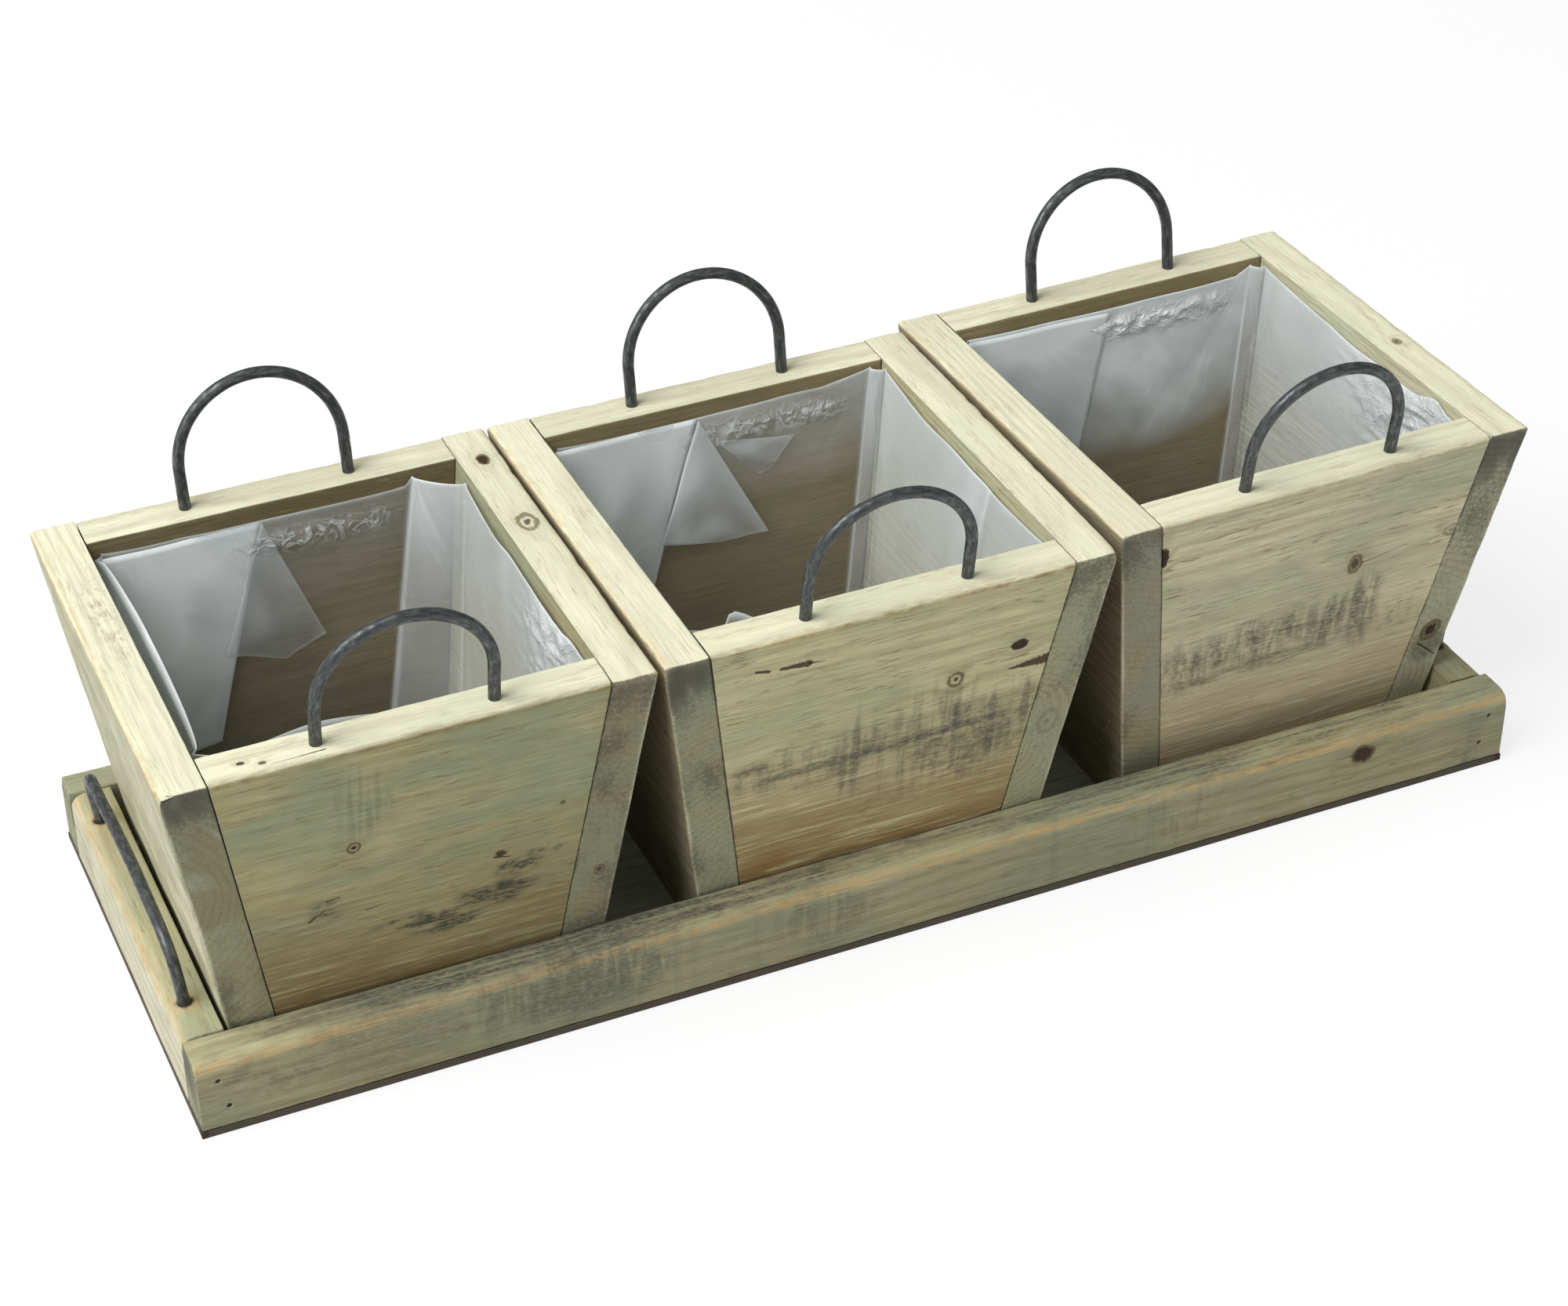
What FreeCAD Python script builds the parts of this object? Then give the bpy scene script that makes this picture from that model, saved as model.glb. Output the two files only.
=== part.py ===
import FreeCAD, Part
import math
import os
import re
import Sketcher
from FreeCAD import Placement, Rotation, Vector

# Indoor herb planter: three tapered wooden pots with wire handles and film liners, standing side
# by side in a low wooden tray that has a wire handle on each end rail.
# Frame: +X runs along the tray, the front is -Y and +Z is up. The origin is the middle of the
# tray's underside. Each pot is drawn about the middle of its own foot and then put in its place.

# Driving dimensions, in millimetres and degrees
SIZES = [
    ("pot_rim_size", 132, "outside of a pot across its rim"),
    ("pot_foot_size", 100, "outside of a pot across its foot"),
    ("pot_height", 109, "foot to rim"),
    ("board_thickness", 12.8, "stock of the pots' four walls"),
    ("floor_thickness", 9, "board that closes a pot's foot"),
    ("rim_round", 1.5, "worn outer edge along the rim"),
    ("film_thickness", 0.3, "wall of the liner bag"),
    ("liner_clearance", 0.3, "between the bag and the boards"),
    ("liner_drop", 4, "rim down to the top of the bag"),
    ("rim_gap", 1.2, "between the rims of two pots"),
    ("end_clearance", 1.4, "end pot to end rail, at the top of the rail"),
    ("side_clearance", 4.6, "pot to front or back rail, at the top of the rail"),
    ("left_pot_gap_share", -0.33, "how far along X the left pot has slid, in rim gaps"),
    ("middle_pot_gap_share", -0.83, "the same for the middle pot"),
    ("right_pot_gap_share", -0.42, "the same for the right pot"),
    ("left_pot_side_share", -0.85, "how far along Y the left pot has slid, in side clearances"),
    ("middle_pot_side_share", -0.9, "the same for the middle pot"),
    ("right_pot_side_share", 0.6, "the same for the right pot"),
    ("left_pot_turn", 0.25, "clockwise from above, in degrees"),
    ("middle_pot_turn", 0, "the middle pot stands square"),
    ("right_pot_turn", 1.2, "anticlockwise from above, in degrees"),
    ("rail_thickness", 12.2, "stock of the tray's four rails"),
    ("rail_height", 22, "height of the rails above the base panel"),
    ("rail_round", 4, "worn outer edge along the top of the rails"),
    ("panel_thickness", 2, "base panel under the rails"),
    ("wire_diameter", 3.4, "handle wire"),
    ("handle_span", 47, "between the middles of a pot handle's legs"),
    ("handle_leg_rise", 11, "straight leg above the rim, under the arch"),
    ("handle_hole_depth", 18, "how deep a pot handle's legs are set"),
    ("handle_hole_clearance", 0.3, "wire to hole wall, all round"),
    ("rail_handle_span", 86, "between the middles of a tray handle's legs"),
    ("rail_handle_rise", 21, "rail top up to the middle of the wire"),
    ("rail_handle_bend", 10, "radius of the two tight bends"),
    ("rail_handle_bow", 5, "how far the top of the wire turns from each bend to its middle, in degrees"),
    ("rail_handle_lean", 6, "outward lean, in degrees"),
    ("rail_handle_inset", 5.4, "outer face of the rail to the middle of the wire"),
    ("rail_handle_hole_depth", 14, "how deep a tray handle's legs are set"),
    ("right_rail_handle_set_back", 3, "how far the right tray handle sits behind the middle"),
    ("nail_length", 30, "a pot's nail, head to point"),
    ("nail_diameter", 1.1, "shank"),
    ("nail_head_diameter", 1.5, "small lost head"),
    ("nail_head_thickness", 0.6, "head"),
    ("nail_sink", 0.8, "how far a head is punched below the wood"),
    ("nail_point", 1.5, "length of the point"),
    ("nail_clearance", 0.05, "nail to hole wall, all round"),
    ("rail_nail_stop", 1, "point of a rail's nail to a tray handle's hole"),
    ("low_nail_height_share", 0.3, "lower corner nail, in pot heights"),
    ("high_nail_height_share", 0.75, "upper corner nail, in pot heights"),
    ("floor_nail_height_share", 0.28, "nail into the floor board, in floor thicknesses"),
    ("floor_nail_spread_share", 0.4, "nail into the floor board, in half foot sizes from the middle"),
    ("high_rail_nail_height_share", 0.72, "upper nail of a rail joint, in rail heights"),
    ("low_rail_nail_height_share", 0.3, "lower nail of a rail joint, in rail heights"),
    ("high_rail_nail_end_share", 0.5, "upper nail, in rail thicknesses from the rail's end"),
    ("low_rail_nail_end_share", 0.68, "lower nail, in rail thicknesses from the rail's end"),
    ("tack_length", 10, "head to point"),
    ("tack_diameter", 1.2, "shank"),
    ("tack_head_diameter", 3, "flat head"),
    ("tack_head_thickness", 0.6, "head"),
    ("tack_sink", 0.2, "how far a head is pressed into the panel"),
    ("tack_point", 1.2, "length of the point"),
    ("tack_reach_share", 0.93, "outermost tacks of a long rail, in half tray lengths"),
    ("tack_step_share", 0.47, "next tacks of a long rail, in half tray lengths"),
    ("overrun", 5, "how far a cutting shape runs past the wood"),
]

POTS = {"left": -1, "middle": 0, "right": 1}
SIDES = {"front": -1, "back": 1}
ENDS = {"left": -1, "right": 1}

doc = FreeCAD.newDocument("herb_planter")
sheet = doc.addObject("Spreadsheet::Sheet", "sizes")
for row, (alias, number, note) in enumerate(SIZES, start=1):
    sheet.set(f"A{row}", note)
    sheet.set(f"B{row}", str(number))
    sheet.setAlias(f"B{row}", alias)
doc.recompute()

VOLUME_TOLERANCE_SHARE = 0.001
ALIAS = re.compile(r"\b(" + "|".join(alias for alias, _, _ in SIZES) + r")\b")


def ex(text):
    """The expression with every size taken from the sheet."""
    return ALIAS.sub(r"sizes.\1", text)


def value(text):
    """The number that an expression gives now."""
    number = sheet.evalExpression(ex(text))
    return float(getattr(number, "Value", number))


# What follows from the sizes: a pot's slope, and the widths that the tray takes from its pots
TAPER = "((pot_rim_size - pot_foot_size) / 2 / pot_height)"
TILT = f"atan({TAPER})"
ACROSS = f"(board_thickness / cos({TILT}))"
RIM_HALF = "(pot_rim_size / 2)"
FOOT_HALF = "(pot_foot_size / 2)"
INNER_RIM = f"({RIM_HALF} - {ACROSS})"
INNER_FOOT = f"({FOOT_HALF} - {ACROSS})"
RIM_MIDDLE = f"({RIM_HALF} - {ACROSS} / 2)"
PITCH = "(pot_rim_size + rim_gap)"
HALF_AT_RAIL = f"({FOOT_HALF} + {TAPER} * rail_height)"
POCKET_LENGTH = f"({PITCH} + {HALF_AT_RAIL} + end_clearance)"
POCKET_DEPTH = f"({HALF_AT_RAIL} + side_clearance)"
TRAY_LENGTH = f"({POCKET_LENGTH} + rail_thickness)"
TRAY_DEPTH = f"({POCKET_DEPTH} + rail_thickness)"
RAIL_TOP = "(panel_thickness + rail_height)"

# A rail's nails are short: they stop before the tray handle's legs
RAIL_HANDLE_REACH = ("(rail_handle_span / 2 + right_rail_handle_set_back"
                     " + wire_diameter / 2 + handle_hole_clearance)")
RAIL_NAIL_LENGTH = f"({TRAY_DEPTH} - nail_sink - rail_nail_stop - {RAIL_HANDLE_REACH})"


def inner_wall(height):
    """Half the clear width inside a pot at a height above its foot."""
    return f"({INNER_FOOT} + {TAPER} * {height})"


def origin_plane(body, role):
    return next(plane for plane in body.Origin.OriginFeatures if plane.Role == role)


def sketch_on(body, name, role, shift=("0", "0", "0"), turn_axis=None, turn="0"):
    """An empty sketch on one of the body's own planes, shifted and turned in that plane's frame."""
    sketch = body.newObject("Sketcher::SketchObject", name)
    sketch.AttachmentSupport = (origin_plane(body, role), "")
    sketch.MapMode = "FlatFace"
    if turn_axis:
        sketch.AttachmentOffset = Placement(Vector(), Rotation(Vector(*turn_axis), value(turn)))
        sketch.setExpression(".AttachmentOffset.Rotation.Angle", ex(turn))
    for letter, text in zip("xyz", shift):
        if text != "0":
            sketch.setExpression(f".AttachmentOffset.Base.{letter}", ex(text))
    return sketch


def pin_point(sketch, element, end, place):
    """Ties one point of the sketch to its two expressions."""
    for kind, text in zip(("DistanceX", "DistanceY"), place):
        number = sketch.addConstraint(Sketcher.Constraint(kind, -1, 1, element, end, value(text)))
        sketch.setExpression(f"Constraints[{number}]", ex(text))


def add_outline(sketch, corners):
    """A closed outline of straight lines through the corners, given as pairs of expressions."""
    first = sketch.GeometryCount
    count = len(corners)
    points = [Vector(value(across), value(up), 0) for across, up in corners]
    for index in range(count):
        sketch.addGeometry(Part.LineSegment(points[index], points[(index + 1) % count]))
    for index in range(count):
        after = first + (index + 1) % count
        sketch.addConstraint(Sketcher.Constraint("Coincident", first + index, 2, after, 1))
    for index, corner in enumerate(corners):
        pin_point(sketch, first + index, 1, corner)


def add_circle(sketch, middle, diameter):
    """A circle about a middle given as two expressions."""
    number = sketch.GeometryCount
    place = Vector(value(middle[0]), value(middle[1]), 0)
    sketch.addGeometry(Part.Circle(place, Vector(0, 0, 1), value(diameter) / 2))
    pin_point(sketch, number, 3, middle)
    tie = sketch.addConstraint(Sketcher.Constraint("Diameter", number, value(diameter)))
    sketch.setExpression(f"Constraints[{tie}]", ex(diameter))


def rectangle(low, high):
    """The four corners of a rectangle between two opposite corners."""
    return [low, (high[0], low[1]), high, (low[0], high[1])]


def pad(body, name, sketch, length, symmetric=False):
    feature = body.newObject("PartDesign::Pad", name)
    feature.Profile = (sketch, [""])
    feature.SideType = "Symmetric" if symmetric else "One side"
    feature.setExpression("Length", ex(length))
    doc.recompute()


def pocket(body, name, sketch, depth=None, reverse=False):
    """Cuts a sketch out of the body, through it both ways or to a depth, and proves that it cut."""
    before = body.Shape.Volume
    feature = body.newObject("PartDesign::Pocket", name)
    feature.Profile = (sketch, [""])
    if depth is None:
        feature.Type = "ThroughAll"
        feature.SideType = "Symmetric"
    else:
        feature.setExpression("Length", ex(depth))
        feature.Reversed = reverse
    doc.recompute()
    assert body.Shape.Volume < before, f"{body.Label}: {name} cuts nothing"


def round_edge(body, name, place, radius):
    """Rounds the edge of the body whose middle lies nearest to a place."""
    near = Vector(*(value(text) for text in place))
    edges = body.Shape.Edges
    index = min(range(len(edges)), key=lambda i: (edges[i].CenterOfMass - near).Length)
    carrier = body.Tip
    feature = body.newObject("PartDesign::Fillet", name)
    feature.Base = (carrier, [f"Edge{index + 1}"])
    feature.setExpression("Radius", ex(radius))
    doc.recompute()


def frustum(body, name, kind, levels):
    """A square block that widens upwards: two pairs of height and half width."""
    rings = []
    for number, (height, half) in enumerate(levels, start=1):
        ring = sketch_on(body, f"{name}_ring_{number}", "XY_Plane", ("0", "0", height))
        add_outline(ring, rectangle((f"-{half}", f"-{half}"), (half, half)))
        rings.append(ring)
    feature = body.newObject(kind, name)
    feature.Profile = (rings[0], [""])
    feature.Sections = [(rings[1], [""])]
    feature.Ruled = True
    doc.recompute()


def new_body(label):
    body = doc.addObject("PartDesign::Body", label)
    body.Label = label
    parts.append(body)
    return body


def set_in_place(part, pot):
    """Moves a pot's piece from the middle of the pot's foot to the pot's place in the tray."""
    number = POTS[pot]
    turned = Rotation(Vector(0, 0, -1 if number < 0 else 1), value(f"{pot}_pot_turn"))
    part.Placement = Placement(Vector(), turned)
    along = f"{number} * {PITCH} + {pot}_pot_gap_share * rim_gap"
    part.setExpression(".Placement.Base.x", ex(along))
    part.setExpression(".Placement.Base.y", ex(f"{pot}_pot_side_share * side_clearance"))
    part.setExpression(".Placement.Base.z", ex("panel_thickness"))
    if value(f"{pot}_pot_turn"):
        part.setExpression(".Placement.Rotation.Angle", ex(f"{pot}_pot_turn"))


def add_arc(sketch, middle, radius, start, end):
    arc = Part.ArcOfCircle(Part.Circle(middle, Vector(0, 0, 1), radius), start, end)
    return sketch.addGeometry(arc)


def wire(body, spine, ring, length):
    """Carries the wire's round section along its bent line, and proves its volume."""
    feature = body.newObject("PartDesign::AdditivePipe", "bent_wire")
    feature.Profile = (ring, [""])
    feature.Spine = (spine, [f"Edge{number + 1}" for number in range(spine.GeometryCount)])
    doc.recompute()
    expected = math.pi * value("wire_diameter / 2") ** 2 * length
    assert abs(body.Shape.Volume / expected - 1) < VOLUME_TOLERANCE_SHARE, f"{body.Label}: wire volume"


def pin_solid(kind, length):
    """A nail or tack that points down -Z from the top of its head at the origin."""
    head = value(f"{kind}_head_diameter / 2")
    shank = value(f"{kind}_diameter / 2")
    neck = value(f"{kind}_head_thickness")
    shoulder = length - value(f"{kind}_point")
    outline = [(0, 0), (head, 0), (head, -neck), (shank, -neck), (shank, -shoulder), (0, -length)]
    points = [Vector(across, 0, up) for across, up in outline]
    face = Part.Face(Part.makePolygon(points + points[:1]))
    return face.revolve(Vector(), Vector(0, 0, 1), 360)


def pins_at(kind, seats, length):
    """One pin for each seat: the sketch that its hole is drawn in, the hole and its direction."""
    solids = []
    for sketch, (across, up), reverse in seats:
        flip = Rotation(Vector(1, 0, 0), 180) if reverse else Rotation()
        sink = value(f"{kind}_sink") * (1 if reverse else -1)
        local = Placement(Vector(value(across), value(up), sink), flip)
        solid = pin_solid(kind, value(length))
        solid.Placement = sketch.Placement.multiply(local)
        solids.append(solid)
    return solids


def pin_group(label, kind, seats, length):
    """All pins of one sort in one node, as separate solids."""
    group = doc.addObject("Part::Feature", label)
    group.Label = label
    group.Shape = Part.makeCompound(pins_at(kind, seats, length))
    parts.append(group)
    return group


def pin_holes(body, name, kind, length, places, plane, reverse, headed):
    """Drills for a set of pins: the shank's hole, and the head's recess in the piece it holds."""
    sketch = sketch_on(body, name, *plane)
    for place in places:
        add_circle(sketch, place, f"{kind}_diameter + 2 * nail_clearance")
    doc.recompute()
    pocket(body, f"{name}_shanks", sketch, f"{kind}_sink + {length}", reverse)
    if headed:
        recess = sketch_on(body, f"{name}_head_ring", *plane)
        for place in places:
            add_circle(recess, place, f"{kind}_head_diameter + 2 * nail_clearance")
        doc.recompute()
        depth = f"{kind}_sink + {kind}_head_thickness"
        pocket(body, f"{name}_heads", recess, depth, reverse)
    return sketch


# Pots: the four walls slope outwards alike, and the left and right walls cover the ends of the
# front and back walls, to which they are nailed
def side_plane(end):
    """The outer face of a left or right wall: across is Y and up follows the slope."""
    number = ENDS[end]
    return ("YZ_Plane", ("0", "0", f"{number} * {FOOT_HALF}"), (number, 0, 0), TILT)


def corner_nails(side):
    """The two nails that a side wall sends into the end of the front or back wall."""
    number = SIDES[side]
    places = []
    for share in ("low_nail_height_share", "high_nail_height_share"):
        height = f"{share} * pot_height"
        across = f"{number} * ({FOOT_HALF} + {TAPER} * {height} - {ACROSS} / 2)"
        places.append((across, f"{height} / cos({TILT})"))
    return places


def floor_nails():
    """The two nails that a side wall sends into the floor board."""
    up = "floor_nail_height_share * floor_thickness"
    return [(f"{number} * floor_nail_spread_share * {FOOT_HALF}", up) for number in SIDES.values()]


def handle_frame(side, role, along):
    """A plane across or along a pot handle, at a distance along its leaning legs from the rim."""
    number = SIDES[side]
    out = f"({RIM_MIDDLE} + ({along}) * sin({TILT}))"
    up = f"(pot_height + ({along}) * cos({TILT}))"
    if role == "XY_Plane":
        return (role, ("0", f"{number} * {out}", up), (-number, 0, 0), TILT)
    return (role, ("0", up, f"{-number} * {out}"), (-number, 0, 0), TILT)


def long_wall(pot, side):
    """The front or back wall, which fits between the side walls and carries a handle."""
    number = SIDES[side]
    body = new_body(f"{pot}_pot_{side}_board")
    section = sketch_on(body, "section", "YZ_Plane")
    add_outline(section, [(f"{number} * {FOOT_HALF}", "0"), (f"{number} * {RIM_HALF}", "pot_height"),
                          (f"{number} * {INNER_RIM}", "pot_height"), (f"{number} * {INNER_FOOT}", "0")])
    pad(body, "plank", section, "pot_rim_size", symmetric=True)
    ends = sketch_on(body, "ends", "XZ_Plane")
    low, high = "-overrun", "(pot_height + overrun)"
    for end in ENDS.values():
        beyond = f"{end} * ({RIM_HALF} + overrun)"
        add_outline(ends, [(f"{end} * {inner_wall(low)}", low), (f"{end} * {inner_wall(high)}", high),
                           (beyond, high), (beyond, low)])
    pocket(body, "end_cuts", ends)
    round_edge(body, "worn_edge", ("0", f"{number} * {RIM_HALF}", "pot_height"), "rim_round")
    holes = sketch_on(body, "handle_holes", *handle_frame(side, "XY_Plane", "overrun"))
    for end in ENDS.values():
        add_circle(holes, (f"{end} * handle_span / 2", "0"), "wire_diameter + 2 * handle_hole_clearance")
    pocket(body, "handle_drilling", holes, "handle_hole_depth + overrun")
    for end in ENDS:
        pin_holes(body, f"{end}_nails", "nail", "nail_length", corner_nails(side), side_plane(end),
                  end == "left", False)
    set_in_place(body, pot)


def side_wall(pot, end):
    """The left or right wall, as deep as the pot, with the nails' heads in its outer face."""
    number = ENDS[end]
    body = new_body(f"{pot}_pot_{end}_board")
    section = sketch_on(body, "section", "XZ_Plane")
    add_outline(section, [(f"{number} * {FOOT_HALF}", "0"), (f"{number} * {RIM_HALF}", "pot_height"),
                          (f"{number} * {INNER_RIM}", "pot_height"), (f"{number} * {INNER_FOOT}", "0")])
    pad(body, "plank", section, "pot_rim_size + 2 * overrun", symmetric=True)
    ends = sketch_on(body, "ends", "YZ_Plane")
    low, high = "-overrun", "(pot_height + overrun)"
    for side in SIDES.values():
        beyond = f"{side} * ({RIM_HALF} + 3 * overrun)"
        add_outline(ends, [(f"{side} * ({FOOT_HALF} + {TAPER} * {low})", low),
                           (f"{side} * ({FOOT_HALF} + {TAPER} * {high})", high),
                           (beyond, high), (beyond, low)])
    pocket(body, "end_cuts", ends)
    round_edge(body, "worn_edge", (f"{number} * {RIM_HALF}", "0", "pot_height"), "rim_round")
    places = corner_nails("front") + corner_nails("back") + floor_nails()
    sketch = pin_holes(body, "nails", "nail", "nail_length", places, side_plane(end),
                       end == "left", True)
    set_in_place(body, pot)
    return [(sketch, place, end == "left") for place in places]


def floor_board(pot):
    """The board that closes the foot, bevelled to the walls and flush with their feet."""
    body = new_body(f"{pot}_pot_floor_board")
    frustum(body, "board", "PartDesign::AdditiveLoft",
            [("0", INNER_FOOT), ("floor_thickness", inner_wall("floor_thickness"))])
    for end in ENDS:
        pin_holes(body, f"{end}_nails", "nail", "nail_length", floor_nails(), side_plane(end),
                  end == "left", False)
    set_in_place(body, pot)


def liner(pot):
    """The loose film bag: it stands on the floor board and ends below the rim."""
    body = new_body(f"{pot}_pot_liner")
    top = "(pot_height - liner_drop)"
    inside = "(floor_thickness + film_thickness)"
    levels = ("floor_thickness", top)
    frustum(body, "outside", "PartDesign::AdditiveLoft",
            [(level, f"({inner_wall(level)} - liner_clearance)") for level in levels])
    above = f"({top} + overrun)"
    frustum(body, "inside", "PartDesign::SubtractiveLoft",
            [(level, f"({inner_wall(level)} - liner_clearance - film_thickness)")
             for level in (inside, above)])
    set_in_place(body, pot)


def pot_handle(pot, side):
    """Two straight legs, set in the wall and leaning with it, and a half circle over them."""
    body = new_body(f"{pot}_pot_{side}_handle")
    spine = sketch_on(body, "bent_line", *handle_frame(side, "XZ_Plane", "0"))
    half = value("handle_span / 2")
    foot = value("-handle_hole_depth")
    rise = value("handle_leg_rise")
    legs = [spine.addGeometry(Part.LineSegment(Vector(-half, foot, 0), Vector(-half, rise, 0)))]
    arch = add_arc(spine, Vector(0, rise, 0), half, 0, math.pi)
    legs.append(spine.addGeometry(Part.LineSegment(Vector(half, rise, 0), Vector(half, foot, 0))))
    spine.addConstraint(Sketcher.Constraint("Coincident", legs[0], 2, arch, 2))
    spine.addConstraint(Sketcher.Constraint("Coincident", arch, 1, legs[1], 1))
    pin_point(spine, legs[0], 1, ("-handle_span / 2", "-handle_hole_depth"))
    pin_point(spine, legs[0], 2, ("-handle_span / 2", "handle_leg_rise"))
    pin_point(spine, legs[1], 1, ("handle_span / 2", "handle_leg_rise"))
    pin_point(spine, legs[1], 2, ("handle_span / 2", "-handle_hole_depth"))
    level = spine.addConstraint(Sketcher.Constraint("DistanceY", -1, 1, arch, 3, rise))
    spine.setExpression(f"Constraints[{level}]", ex("handle_leg_rise"))
    ring = sketch_on(body, "ring", *handle_frame(side, "XY_Plane", "-handle_hole_depth"))
    add_circle(ring, ("-handle_span / 2", "0"), "wire_diameter")
    wire(body, spine, ring, 2 * (rise - foot) + math.pi * half)
    set_in_place(body, pot)


# Tray: two long rails with two end rails between them, nailed at the corners, on a thin panel
def rail_nails():
    """The nails of a long rail's two joints: X and height."""
    places = []
    for end in ENDS.values():
        for level in ("low", "high"):
            across = f"{end} * ({TRAY_LENGTH} - {level}_rail_nail_end_share * rail_thickness)"
            up = f"panel_thickness + {level}_rail_nail_height_share * rail_height"
            places.append((across, up))
    return places


def long_rail_tacks(side):
    """Tacks up through the panel into a long rail: X and Y."""
    number = SIDES[side]
    up = f"{number} * ({TRAY_DEPTH} - rail_thickness / 2)"
    places = [("0", up)]
    for end in ENDS.values():
        for share in ("tack_step_share", "tack_reach_share"):
            places.append((f"{end} * {share} * {TRAY_LENGTH}", up))
    return places


def end_rail_tack(end):
    """The tack up through the panel into the middle of an end rail."""
    return [(f"{ENDS[end]} * ({TRAY_LENGTH} - rail_thickness / 2)", "0")]


def long_rail_plane(side):
    """The outer face of a long rail: across is X and up is Z."""
    return ("XZ_Plane", ("0", "0", f"{-SIDES[side]} * {TRAY_DEPTH}"))


def rail_handle_frame(end, role, along):
    """A plane across or along a tray handle, at a distance along its leaning legs from the rail."""
    number = ENDS[end]
    out = f"{number} * ({TRAY_LENGTH} - rail_handle_inset + ({along}) * sin(rail_handle_lean))"
    up = f"({RAIL_TOP} + ({along}) * cos(rail_handle_lean))"
    back = "right_rail_handle_set_back" if end == "right" else "0"
    if role == "XY_Plane":
        return (role, (out, back, up), (0, number, 0), "rail_handle_lean")
    return (role, (back, up, out), (number, 0, 0), "rail_handle_lean")


def long_rail(side):
    """The front or back rail, which runs the tray's whole length."""
    number = SIDES[side]
    body = new_body(f"tray_{side}_rail")
    section = sketch_on(body, "section", "YZ_Plane")
    add_outline(section, rectangle((f"{number} * {TRAY_DEPTH}", "panel_thickness"),
                                   (f"{number} * {POCKET_DEPTH}", RAIL_TOP)))
    pad(body, "plank", section, f"2 * {TRAY_LENGTH}", symmetric=True)
    round_edge(body, "worn_edge", ("0", f"{number} * {TRAY_DEPTH}", RAIL_TOP), "rail_round")
    back = side == "back"
    sketch = pin_holes(body, "nails", "nail", RAIL_NAIL_LENGTH, rail_nails(), long_rail_plane(side),
                       back, True)
    pin_holes(body, "tacks", "tack", "tack_length", long_rail_tacks(side), ("XY_Plane",), True, False)
    return [(sketch, place, back) for place in rail_nails()]


def end_rail(end):
    """The left or right rail, between the long rails, with the tray handle's two holes."""
    number = ENDS[end]
    body = new_body(f"tray_{end}_rail")
    section = sketch_on(body, "section", "XZ_Plane")
    add_outline(section, rectangle((f"{number} * {POCKET_LENGTH}", "panel_thickness"),
                                   (f"{number} * {TRAY_LENGTH}", RAIL_TOP)))
    pad(body, "plank", section, f"2 * {POCKET_DEPTH}", symmetric=True)
    round_edge(body, "worn_edge", (f"{number} * {TRAY_LENGTH}", "0", RAIL_TOP), "rail_round")
    holes = sketch_on(body, "handle_holes", *rail_handle_frame(end, "XY_Plane", "overrun"))
    for side in SIDES.values():
        place = ("0", f"{side} * rail_handle_span / 2")
        add_circle(holes, place, "wire_diameter + 2 * handle_hole_clearance")
    pocket(body, "handle_drilling", holes, "rail_handle_hole_depth + overrun")
    places = [place for place in rail_nails() if value(place[0]) * number > 0]
    for side in SIDES:
        pin_holes(body, f"{side}_nails", "nail", RAIL_NAIL_LENGTH, places, long_rail_plane(side),
                  side == "back", False)
    pin_holes(body, "tacks", "tack", "tack_length", end_rail_tack(end), ("XY_Plane",), True, False)


def base_panel():
    """The thin panel under the rails, flush with their outer faces."""
    body = new_body("tray_base_panel")
    outline = sketch_on(body, "outline", "XY_Plane")
    add_outline(outline, rectangle((f"-{TRAY_LENGTH}", f"-{TRAY_DEPTH}"), (TRAY_LENGTH, TRAY_DEPTH)))
    pad(body, "panel", outline, "panel_thickness")
    places = long_rail_tacks("front") + long_rail_tacks("back")
    places += end_rail_tack("left") + end_rail_tack("right")
    sketch = pin_holes(body, "tacks", "tack", "tack_length", places, ("XY_Plane",), True, True)
    return [(sketch, place, True) for place in places]


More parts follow.
